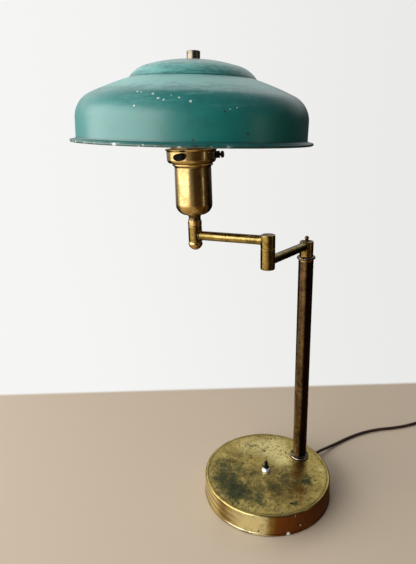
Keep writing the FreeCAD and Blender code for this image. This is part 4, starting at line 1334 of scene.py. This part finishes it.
# ---- base ----
@dataclass
class Base:
    """The spun brass cup and the toggle switch in its top.

    A stain is its middle's x and y, its width and its strength; a speck on the side is its bearing, height,
    size and whether it is white, and one on the plate its x, y and size.
    """

    radius: float = 90.0
    height: float = 32.0
    wall: float = 1.2
    low: float = 0.8
    switch_at: Place = (-1.0, -1.0)
    switch_pivot: float = 30.6
    switch_tilt: float = 12.0
    dome_radius: float = 7.5
    knob_height: float = 13.0
    stains: Patches = (
        (-68, 10, 17, 0.7), (-62, -24, 20, 0.85), (-42, -42, 20, 0.8), (-16, -62, 16, 0.7),
        (-42, 14, 13, 0.6),
        (-22, -8, 12, 0.45), (-8, -30, 13, 0.4), (51, -25, 11, 0.85), (30, 6, 9, 0.5), (22, -22, 15, 0.42),
        (-20, 60, 9, 0.3), (-64, 42, 12, 0.35), (28, -67, 5, 0.8),
    )
    ambers: Patches = (
        (49, 10, 11, 1.0), (44, -10, 12, 1.0), (40, -42, 13, 0.85), (36, -66, 11, 0.6), (20, -28, 16, 0.35),
        (2, -18, 9, 0.5),
    )
    pales: Patches = (
        (14, 52, 36, 0.9), (26, 18, 14, 0.7), (-30, 60, 22, 0.5), (80, 0, 12, 0.7), (10, -78, 16, 0.4),
        (70, -45, 12, 0.4),
    )
    grimes: Patches = (
        (-30, -20, 45, 0.75), (20, -40, 34, 0.65), (-60, 20, 26, 0.35), (-20, 40, 26, 0.25),
        (50, -10, 18, 0.3),
        (22, 4, 20, 0.4),
    )
    side_specks: tuple[tuple[float, float, float, bool], ...] = (
        (-79.0, 3.0, 2.6, True), (-67.6, 11.0, 1.1, True), (-72.8, 29.0, 0.8, True),
        (-103.8, 7.6, 1.5, False),
        (-66.0, 8.6, 0.8, False), (-70.5, 25.0, 0.7, False),
    )
    plate_specks: tuple[Place3, ...] = (
        (65.0, -24.0, 1.6), (24.4, -66.6, 2.4), (1.9, 44.0, 1.9), (15.8, 73.8, 1.8), (76.0, -8.0, 1.2),
        (-20.0, 34.0, 1.3), (34.0, 40.0, 1.3),
    )

    def specks(self) -> Specks:
        """Where each speck lies on the cup, in metres, with its size and whether it is white.

        Returns:
            The specks.
        """
        side = [((*(towards(bearing)[:2] * (self.radius - 0.5)), z), size, pale)
                for bearing, z, size, pale in self.side_specks]
        plate = [((x, y, TOP_PLATE), size, False) for x, y, size in self.plate_specks]
        return tuple((tuple(float(v) * MM for v in place), size * MM, pale)
                     for place, size, pale in side + plate)

    def build(self, paint: Paintshop) -> None:
        """Builds the base's pieces.

        Args:
            paint: hands out the finishes.
        """
        self.cup().made("base_cup", paint(Finish.PLATE), "base", "base_shell")
        self.dome_nut().made("switch_nut", paint(Finish.NICKEL), "base", "switch_dome_nut")
        self.lever().made("switch_bat", paint(Finish.LEVER), "switch_toggle", "switch_lever")

    def cup(self) -> Surface:
        """The cup, with the marks of its stains.

        A stain's mark is the sum of bell curves exp(-(d/w)^2) of the level distance d from each stain's
        middle. The side carries painted shade in brown from bearing -99 to 95, painted highlights in two
        pale bands round -108 and -152, and a painted shadow along its foot.

        Returns:
            The closed surface.
        """
        r, top, low, wall = self.radius, self.height, self.low, self.wall
        outline = Outline(r - wall, low).line((r, low)).arc((r + 0.35, low + 1.4), (r - 0.3, low + 3.2), 10)
        outline.line((r - 0.6, top - 2.6)).arc((r - 1.3, top - 0.75), (r - 3.0, top), 10)
        outline.arc((r - 3.7, top - 0.15), (r - 4.4, top - 0.35), 6).line((0.4, top - 0.35),
                                                                          (0.4, top - wall))
        outline.line((r - 3.2, top - wall), (r - 1.8, top - 2.8), (r - 1.5, low + 3.2))
        surface = outline.spun((0, 0), 0.25, 1.6, 288)
        x, y, z = surface.points.T

        def spread(patches: Patches) -> Array:
            """The sum of the bell curves of some stains."""
            return sum(share * bell(np.hypot(x - at_x, y - at_y), 0, width)
                       for at_x, at_y, width, share in patches)

        level = np.hypot(x, y)
        plate = (z > top - 1.0) & (level < r - 4.0)
        side = (level > r - 1.45) & (z < top - 1.2)
        bearing = np.degrees(surface.bearing((0, 0)))
        # Painted shade: the side turns dark brown from bearing -99 round to 95.
        painted_side_shade = np.clip((bearing + 99) / 12, 0, 1) * np.clip((95 - bearing) / 40, 0, 1)
        streaked = 0.7 + 0.3 * np.sin(z * 0.7 + 0.11 * bearing)
        # Painted highlights: pale bands on the side round -108 and -152.
        lit_side = (bell(bearing, -108, 20) + 0.85 * streaked * bell(bearing, -152, 26)) * (1 - painted_side_shade)
        # The bell of the height is a painted shadow along the foot.
        foot_grime_and_shadow = np.where(side, 0.25 * streaked, 0.0) + bell(z, 0, 1.6)
        surface.marks |= {
            "plate": plate.astype(float),
            "grime_and_shadow": np.where(plate, spread(self.grimes), foot_grime_and_shadow),
            "stain": np.where(plate, spread(self.stains), 0.0),
            "amber": np.where(plate, spread(self.ambers),
                              np.where(side, 0.75 * bell(bearing, -138, 9), 0.0)),
            "brown": np.where(side, painted_side_shade, 0.0),
            "pale": np.where(plate, spread(self.pales), np.where(side, lit_side, 0.3)),
            "lip": bell(level, r - 5.0, 0.8) * (z > top - 0.6),
        }
        return surface

    def dome_nut(self) -> Surface:
        """The switch's round nut, milled round its skirt with forty fine flutes.

        Returns:
            The closed surface.
        """
        z, dome = self.switch_pivot, self.dome_radius
        edge, shoulder, crown = (math.sqrt(dome ** 2 - radius ** 2) for radius in (6.4, 5.0, 3.3))
        outline = Outline(5.0, TOP_PLATE).line((6.6, TOP_PLATE), (6.4, z + edge))
        outline.arc((5.0, z + shoulder), (3.3, z + crown), 10).line((3.3, 35.6), (5.0, 35.2))

        def flutes(angle: Array, height: Array) -> Array:
            """A shallow cosine ripple on the skirt."""
            return -0.1 * (1 + np.cos(angle * 40)) * ((height > TOP_PLATE + 0.4) & (height < z + edge - 0.3))

        return outline.spun(self.switch_at, 0.2, 0.5, 320, ripple=flutes)

    def lever(self) -> Surface:
        """The black bat lever, tipped about the switch's pin.

        Returns:
            The closed surface.
        """
        z, skirt, knob = self.switch_pivot, self.dome_radius + 0.3, self.knob_height
        rim, middle, under = (math.sqrt(skirt ** 2 - radius ** 2) for radius in (4.4, 2.9, 2.4))
        outline = Outline(0, 26.6).line((1.3, 26.6), (1.3, z + skirt - 0.15), (1.4, z + skirt - 0.12))
        outline.arc((2.9, z + middle), (4.4, z + rim), 8).line((4.3, z + rim + 0.9))
        outline.arc((3.1, z + under + 1.3), (1.9, z + 9.9), 10)
        outline.line((1.85, z + knob - 1.9)).arc((2.65, z + knob), (0.0, z + knob + 2.65), 16)
        pivot = Matrix.Translation((*self.switch_at, z))
        tip = pivot @ Matrix.Rotation(math.radians(-self.switch_tilt), 4, "X") @ pivot.inverted()
        return outline.spun(self.switch_at, 0.2, 0.6, 64, loop=False).turned(tip)


# ---- column ----
@dataclass
class Column:
    """The upright tube with its foot ring, its top ring and the ball nut over the hub."""

    radius: float = 9.9
    bore: float = 8.7
    top: float = 340.0
    ring_top: float = 344.0
    ball_radius: float = 2.75
    ball_throat: float = 1.9
    ball_z: float = 368.4
    hub_top: float = 364.0
    column_shaded_bearing: float = -12.0

    def build(self, paint: Paintshop) -> None:
        """Builds the column's pieces.

        Args:
            paint: hands out the finishes.
        """
        low, r, top, above = TOP_PLATE, self.radius, self.top, self.hub_top + 0.3
        ring = paint(Finish.RING)
        shaft = Outline(self.bore, low).line((r, low), (r, top), (self.bore, top)).spun(COLUMN_AT, 0.3, 4.0)
        # Painted shade: the tube's side away from the light is painted near black.
        shaft.marks["hollow"] = self.blackened(shaft)
        shaft.made("column", paint(Finish.COLUMN), "base", "column_tube")
        foot = Outline(r - 0.6, low).line((12.6, low), (13.0, low + 0.5)).arc((14.0, low + 1.7),
                                                                              (12.9, low + 3.0), 12)
        foot.arc((11.4, low + 3.3), (r + 0.1, low + 4.0), 8).line((r - 0.6, low + 4.0))
        foot.spun(COLUMN_AT, 0.2, 1.0, 128).made("foot_ring", ring, "base", "column_foot_ring")
        head = Outline(6.0, top).line((10.8, top)).arc((12.25, (top + self.ring_top) / 2),
                                                       (10.6, self.ring_top), 14)
        head.line((6.0, self.ring_top)).spun(COLUMN_AT, 0.25, 1.0).made("top_ring", ring, "base",
                                                                        "column_top_ring")
        throat_z = self.ball_z - math.sqrt(self.ball_radius ** 2 - self.ball_throat ** 2)
        ball = Outline(0, above).line((3.4, above), (3.0, above + 0.6), (self.ball_throat, throat_z))
        ball.arc((self.ball_radius, self.ball_z), (0.0, self.ball_z + self.ball_radius), 24)
        ball.spun(COLUMN_AT, 0.15, 0.6, 64, loop=False).made("ball_finial", paint(Finish.DARK_BRASS),
                                                             "base", "ball_nut")

    def blackened(self, shaft: Surface) -> Array:
        """Painted shade: how dark each point of the tube is on its side away from the light, a steep rise
        with the cosine of its bearing.
        """
        return np.clip((np.cos(shaft.bearing(COLUMN_AT) - math.radians(self.column_shaded_bearing)) + 0.06) / 0.2, 0, 1)


# ---- arms ----
@dataclass
class SwingArm:
    """One level arm between two upright barrels: a tube saddled to both, with brazed fillets."""

    radius: float
    start: Place
    start_barrel: float
    end: Place
    end_barrel: float
    z: float
    shade_level: float
    steps_round: int = 72
    sunk: float = 0.6
    braze: float = 0.7
    braze_reach: float = 0.8

    def tube(self) -> Surface:
        """The tube as a grid of angle round it and share along it.

        At angle a the tube's point lies r sin a to the side, so it meets a barrel of radius R at the
        distance sqrt(R^2 - (r sin a)^2) from the barrel's axis. Near either end the radius swells by a bell
        curve of the distance to the barrel, as the braze does. Painted shade marks the points whose cos a is
        below its level, the tube's underside, and a painted dark reflection marks the narrow strip along its
        top.

        Returns:
            The closed surface.
        """
        first, last = np.array([*self.start, self.z]), np.array([*self.end, self.z])
        length = np.linalg.norm(last - first)
        way = (last - first) / length
        aside, up = np.array([-way[1], way[0], 0.0]), np.array([0, 0, 1.0])
        angle = (np.arange(self.steps_round) * math.tau / self.steps_round)[:, None]
        side = self.radius * np.sin(angle)
        begin = np.sqrt(self.start_barrel ** 2 - side ** 2) - self.sunk
        finish = length - np.sqrt(self.end_barrel ** 2 - side ** 2) + self.sunk
        share = np.concatenate([np.linspace(0, 0.05, 14), np.linspace(0.06, 0.94, 50),
                                np.linspace(0.95, 1, 14)])
        reach = begin + (finish - begin) * share
        gap = np.minimum(reach - begin, finish - reach) - self.sunk
        braze = self.braze * bell(np.maximum(gap, 0), 0, self.braze_reach)
        radius = (self.radius + braze)[..., None]
        outward = (np.sin(angle) * aside + np.cos(angle) * up)[:, None]
        points = first + reach[..., None] * way + radius * outward
        grid = points.shape[:2]
        tips = [first + way * begin.mean(), first + way * finish.mean()]
        # Painted shade on the underside and a painted dark reflection on the top strip.
        under = np.clip((self.shade_level - np.cos(angle)) / 0.35, 0, 1)
        painted_shade = np.maximum(under, np.clip((np.cos(angle) - 0.9) / 0.07, 0, 1))
        hollow = np.append(np.maximum(braze, painted_shade), [0.0, 0.0])
        quads = grid_faces(*grid, columns_close=False)[:, [0, 3, 2, 1]]
        triangles = end_fans(*grid)[:, [1, 0, 2]]
        return Surface(np.vstack([points.reshape(-1, 3), tips]), quads, triangles, {"hollow": hollow})


@dataclass
class Linkage:
    """The hub on the column, the two arms, and the knuckle between them."""

    hub_radius: float = 9.05
    hub_bottom: float = 344.3
    hub_top: float = 364.0
    hub_bore_top: float = 360.6
    inner: SwingArm = field(default_factory=lambda: SwingArm(5.55, COLUMN_AT, 9.05, KNUCKLE_AT,
                                                             8.55, 358.3, 0.2))
    outer: SwingArm = field(default_factory=lambda: SwingArm(5.6, KNUCKLE_AT, 8.55, HEAD_AT, 8.4,
                                                             383.5, -0.45))
    knuckle_radius: float = 8.55
    knuckle_bottom: float = 349.0
    knuckle_seam: float = 374.3
    knuckle_bore_top: float = 385.7
    knuckle_top: float = 390.4
    pin_bore: float = 4.52
    cap_radius: float = 6.55
    seam_gap: float = 0.15
    post_radius: float = 8.4
    post_bottom: float = 376.0
    post_seam: float = 396.0
    knuckle_shaded_bearing: float = -12.0

    def build(self, paint: Paintshop) -> None:
        """Builds the linkage's pieces.

        Args:
            paint: hands out the finishes.
        """
        arm, bore, gap = paint(Finish.ARM), SHAFT_RADIUS + RUNNING, self.seam_gap
        r, top = self.hub_radius, self.hub_top
        hub = Outline(bore, self.hub_bottom).line((r, self.hub_bottom), (r, top - 1.1))
        hub.arc((r - 0.32, top - 0.32), (r - 1.1, top), 8).line((2.4, top), (2.4, self.hub_bore_top))
        hub.line((bore, self.hub_bore_top)).spun(COLUMN_AT, 0.25, 1.0).made("hub", arm,
                                                                            "inner_arm", "hub_barrel")
        self.inner.tube().made("inner_arm", arm, "inner_arm", "inner_arm_tube")

        r, low, seam, top = self.knuckle_radius, self.knuckle_bottom, self.knuckle_seam, self.knuckle_top
        pin = self.pin_bore
        lower = Outline(0, low).line((r - 1.2, low)).arc((r - 0.35, low + 0.35), (r, low + 1.2), 8)
        lower.line((r, seam - 0.5), (r - 0.35, seam - gap), (pin, seam - gap), (pin, low + 3), (0, low + 3))
        # Both knuckle barrels carry painted shade on their side away from the light.
        self.painted_side_shade(lower.spun(KNUCKLE_AT, 0.2, 1.2, loop=False)).made(
            "knuckle_lower", arm, "inner_arm", "knuckle_lower_barrel")
        cap_r = self.cap_radius
        upper = Outline(cap_r, top - 1.8).line((bore, self.knuckle_bore_top), (bore, seam + gap),
                                               (r - 0.35, seam + gap))
        upper.line((r, seam + 0.5), (r, top - 1.0)).arc((r - 0.3, top - 0.3), (r - 1.0, top), 8)
        upper.line((cap_r + 0.2, top), (cap_r, top - 0.25))
        self.painted_side_shade(upper.spun(KNUCKLE_AT, 0.2, 1.2)).made("knuckle_upper", arm, "outer_arm",
                                                            "knuckle_upper_barrel")
        cap = Outline(0, top - 1.8).line((cap_r, top - 1.8), (cap_r, top - 0.3), (cap_r - 0.25, top - 0.05))
        cap.arc((3.2, top + 0.25), (0.0, top + 0.35), 10).spun(KNUCKLE_AT, 0.15, 1.0, loop=False).made(
            "knuckle_disc", paint(Finish.DARK_BRASS), "outer_arm", "knuckle_cap")
        self.outer.tube().made("outer_arm", arm, "outer_arm", "outer_arm_tube")

        r, low, seam = self.post_radius, self.post_bottom, self.post_seam
        post = Outline(bore, low).line((r, low), (r, seam - 0.5), (r - 0.35, seam - gap), (bore, seam - gap))
        post.spun(HEAD_AT, 0.25, 1.2).made("post", arm, "outer_arm", "post_barrel")

    def painted_side_shade(self, barrel: Surface) -> Surface:
        """Painted shade on a knuckle barrel, growing with the cosine of the bearing towards its shaded side.
        """
        away = np.cos(barrel.bearing(KNUCKLE_AT) - math.radians(self.knuckle_shaded_bearing))
        return barrel.darkened(0.5 * np.clip((away + 0.5) / 1.1, 0, 1))


# ---- lampholder ----
@dataclass
class Lampholder:
    """The turned stem, the spun husk and the shade fitter."""

    post_radius: float = 8.4
    seam: float = 396.15
    collar_top: float = 402.2
    husk_bottom: float = 409.5
    husk_radius: float = 22.2
    husk_top: float = 470.6
    bead_bottom: float = 466.0
    collar_at: Place = (HEAD_AT[0] - 1.2, HEAD_AT[1])
    collar_radius: float = 29.0
    reflection_stripes: tuple[Place3, ...] = ((-139.0, 3.5, 0.6), (-86.0, 3.0, 0.35), (-40.0, 4.0, 0.5),
                                        (20.0, 6.0, 0.4),
                                        (95.0, 5.0, 0.5))

    def build(self, paint: Paintshop) -> None:
        """Builds the lampholder's pieces.

        Args:
            paint: hands out the finishes.
        """
        brass = paint(Finish.HUSK)
        r, s, seam = self.post_radius, SHAFT_RADIUS, self.seam
        top, bottom = self.collar_top, self.husk_bottom
        nut = Outline(0, 365.0).arc((4.3, 366.45), (8.3, 371.0), 16).arc((8.75, 373.4), (8.0, 375.7), 8)
        nut.line((s, 375.7), (s, 372.0), (0, 372.0)).spun(HEAD_AT, 0.2, 1.0, loop=False).made(
            "dome_nut_under", brass, "head", "dome_nut")
        collar = Outline(s, seam).line((r - 0.4, seam), (r, seam + 0.4), (r, top - 0.4),
                                       (r - 0.4, top), (s, top))
        collar.spun(HEAD_AT, 0.2, 1.0).made("stem_collar", brass, "head", "post_collar")
        neck = Outline(s, top).line((8.0, top), (7.9, top + 0.5)).arc((7.3, 405.5), (8.5, 409.2), 12)
        neck.line((8.6, bottom), (s, bottom)).spun(HEAD_AT, 0.15, 0.8).made(
            "stem_neck", paint(Finish.DARK_BRASS), "head", "neck_ring")
        husk = self.husk().spun(HEAD_AT, 0.2, 1.6, 192)
        # The husk's dark stripes are painted reflections.
        husk.darkened(self.runs(husk)).made("husk", brass, "head", "socket_husk")
        self.fitter().spun(self.collar_at, 0.25, 1.2, 128).made("shade_fitter", brass, "head",
                                                                "fitter_collar")

    def runs(self, husk: Surface) -> Array:
        """Painted reflections: dark stripes down the husk as bell curves of the bearing, below the bead."""
        bearing = np.degrees(husk.bearing(HEAD_AT))
        dark = sum(share * bell(bearing, middle, width) for middle, width, share in self.reflection_stripes)
        return dark * (husk.points[:, 2] < self.bead_bottom)

    def husk(self) -> Outline:
        """The husk's outline: a round shoulder, a long plain body and a rolled bead at its mouth.

        Returns:
            The closed outline.
        """
        r, s, low, top = self.husk_radius, SHAFT_RADIUS, self.husk_bottom, self.husk_top
        outline = Outline(s, low).line((9.0, low)).arc((18.6, 413.4), (r, 423.5), 24).line((21.8, 465.2))
        outline.arc((22.2, 466.8), (23.2, 467.4), 6).arc((24.1, 468.9), (23.2, 470.4), 12)
        outline.line((21.0, top), (20.9, 465.4), (r - 1, 423.5)).arc((17.8, 414.3), (9.0, low + 1), 16)
        return outline.line((s, low + 1))

    def fitter(self) -> Outline:
        """The fitter's outline: a round foot, a plain band and a flared lip.

        Returns:
            The closed outline.
        """
        r, low = self.collar_radius, self.husk_top
        outline = Outline(19.9, low).line((24.5, low)).arc((27.8, 471.9), (r, 475.4), 10)
        outline.line((r + 0.3, 484.4), (30.7, 486.3), (30.3, 487.0), (r - 0.7, 485.0), (r - 1, 475.6))
        return outline.arc((27.0, 472.7), (24.4, low + 1), 8).line((19.9, low + 1))


# ---- shade ----
@dataclass
class Shade:
    """The spun enamelled shade, which hangs a little crooked, and its finial.

    A speck is its bearing, height and width and whether it shows pale primer; a band of chalking with a
    painted sheen is its radius, width and strength.
    """

    tilt: float = 2.7
    shift: float = 1.0
    pivot_z: float = 500.0
    wall: float = 1.0
    body_radius: float = 131.4
    rim_radius: float = 138.4
    rim_z: float = 494.5
    step_radius: float = 71.0
    step_z: float = 562.3
    top: float = 581.5
    hole: float = 3.6
    finial_radius: float = 7.5
    finial_bore: float = 3.05
    finial_top: float = 591.0
    speck_share: float = 0.75
    chalk_and_sheen_ground: float = 0.3
    chalk_and_sheen_bands: tuple[Place3, ...] = ((88.0, 20.0, 1.0), (60.0, 9.0, 0.5))
    speckled: tuple[tuple[float, float, float, bool], ...] = (
        (-114.4, 541.6, 1.5, True), (-112.2, 541.0, 1.2, True), (-106.3, 539.7, 1.9, True),
        (-103.4, 535.7, 1.7, True), (-100.9, 534.4, 1.3, True), (-94.6, 536.4, 1.4, True),
        (-89.8, 533.3, 1.8, True), (-113.4, 529.0, 1.4, True), (-98.0, 538.4, 0.9, True),
        (-73.8, 527.5, 1.0, True), (-70.7, 528.9, 0.9, True), (-78.5, 554.6, 0.9, True),
        (-76.0, 525.3, 1.7, False), (-65.9, 506.2, 1.9, False), (-28.1, 521.6, 2.6, False),
        (-88.6, 500.2, 1.6, False), (-141.3, 571.7, 1.8, False), (120.0, 540.0, 2.0, False),
        (75.0, 536.0, 1.5, True), (160.0, 528.0, 1.6, True),
    )

    def lean(self) -> Matrix:
        """The matrix that carries the shade from the origin's axis to where it really hangs.

        Returns:
            The matrix, in millimetres.
        """
        pivot = Matrix.Translation((*HEAD_AT, self.pivot_z))
        turn = Matrix.Rotation(math.radians(self.tilt), 4, "Y")
        stand = pivot.inverted() @ Matrix.Translation((*HEAD_AT, 0.0))
        return Matrix.Translation((self.shift, 0, 0)) @ pivot @ turn @ stand

    def outer_outline(self) -> Array:
        """The outside from crown to skirt, as drawn points.

        Returns:
            The (radius, z) points.
        """
        step, step_z = self.step_radius, self.step_z
        outline = Outline(self.hole, self.top).arc((25.0, 580.3), (50.0, 575.2), 30)
        outline.arc((62.5, 570.3), (step, step_z), 20).line((step + 0.6, step_z - 1.2))
        outline.arc((93.5, 553.4), (114.6, 544.3), 30).arc((124.5, 536.6), (self.body_radius, 518.0), 30)
        return np.concatenate(outline.runs)

    def profile(self) -> tuple[Array, Marks]:
        """The closed outline with its marks.

        The inner face is the outer one moved by the wall's thickness along its normals. The run mark is the
        length walked from the crown, chalking with a painted sheen grows where the outside faces up, and rim
        marks the rolled edge.

        Returns:
            The outline and its marks.
        """
        body, rim, rim_z, flange = self.body_radius, self.rim_radius, self.rim_z, self.rim_z + 2.4
        outer = self.outer_outline()
        along = np.gradient(outer, axis=0)
        along /= np.linalg.norm(along, axis=1)[:, None]
        inner = outer + np.stack([along[:, 1], -along[:, 0]], 1) * self.wall
        inner[0] = (self.hole, self.top - self.wall)
        skirt = Outline(*outer[-1]).line((body + 0.2, flange + 1.6)).arc((body + 0.7, flange + 0.5),
                                                                         (body + 2.0, flange), 6)
        skirt.line((rim - 1.5, rim_z + 1.7)).arc((rim, rim_z + 0.2), (rim - 1.5, rim_z - 1.3), 12)
        skirt.arc((rim - 2.6, rim_z - 0.8), (rim - 3.0, rim_z + 0.4), 6)
        skirt.line((body + 1.0, flange - 1.2), (body - 0.8, flange + 0.6))
        whole = Outline(*outer[0])
        whole.runs = [outer, np.concatenate(skirt.runs)[1:], inner[::-1]]
        points = whole.drawn(0.3, 1.6)
        points = np.roll(points, -int(np.argmax(points[:, 1] - 0.001 * points[:, 0])), 0)
        r, z = points.T
        ahead = np.roll(points, -1, 0) - np.roll(points, 1, 0)
        ahead /= np.linalg.norm(ahead, axis=1)[:, None]
        facing_up = -ahead[:, 0]
        widest = np.maximum.accumulate(outer[:, 0])
        outer_z = np.interp(r, widest, outer[:, 1])
        inside = (z < outer_z - self.wall * 0.5) & (r < body - 0.4) & (facing_up < 0.2)
        inside |= (r < body - 0.4) & (r > 60) & (ahead[:, 1] < 0) & (z < 560) & (z < outer_z - 0.5)
        walked = np.append(0, np.cumsum(np.hypot(*np.diff(outer, axis=0).T)))
        # Chalking and a painted sheen on the up-facing bands of the shoulder and the dome's edge.
        chalk_and_sheen = self.chalk_and_sheen_ground + sum(share * bell(r, middle, width)
                                        for middle, width, share in self.chalk_and_sheen_bands)
        return points, {"inside": inside.astype(float),
                        "run": np.where(inside, 0.0, np.interp(r, widest, walked)),
                        "rim": bell(r, rim, 2.0), "chalk_and_sheen": np.clip(facing_up, 0, 1) * ~inside * chalk_and_sheen}

    def specks(self) -> Specks:
        """Where each speck lies on the leaned surface, in metres, with its size and whether it is pale.

        Returns:
            The specks.
        """
        outer, lean, found = self.outer_outline(), self.lean(), []
        for bearing, z, size, pale in self.speckled:
            radius = float(np.interp(-z, -outer[:, 1], outer[:, 0]))
            point = lean @ Vector((*(towards(bearing)[:2] * radius), z))
            found.append((tuple(x * MM for x in point), size * MM * self.speck_share, pale))
        return tuple(found)

    def build(self, paint: Paintshop) -> None:
        """Builds the shade and the finial.

        Args:
            paint: hands out the finishes.
        """
        points, marks = self.profile()
        shell = lathe(points, segments=256, marks=marks).turned(self.lean())
        shell.made("shade", paint(Finish.ENAMEL), "shade", "shade_shell", sharp=50)
        low, top, r, bore = self.top + 0.4, self.finial_top, self.finial_radius, self.finial_bore
        nut = Outline(0, top - 2.5).line((bore, top - 2.5), (bore, low), (r - 0.3, low), (r, low + 0.3),
                                         (r, top - 0.5))
        nut = nut.line((r - 0.5, top), (0, top)).spun((0, 0), 0.25, 0.8, loop=False).turned(self.lean())
        nut.made("finial_nut", paint(Finish.TURNED), "finial", "shade_finial")


def main() -> None:
    """Builds the lamp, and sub-assembly by sub-assembly."""
    logging.basicConfig(level=logging.INFO, format="%(name)s: %(message)s")
    shade, base = Shade(), Base()
    paint = Paintshop(StovedEnamel("Stoved enamel", shade.specks()), base.specks())
    Studio().build()
    for assembly in (MainsCord(), base, Column(), Linkage(), Lampholder(), shade):
        assembly.build(paint)
    paint.repaint_frame()


if __name__ == "__main__":
    main()
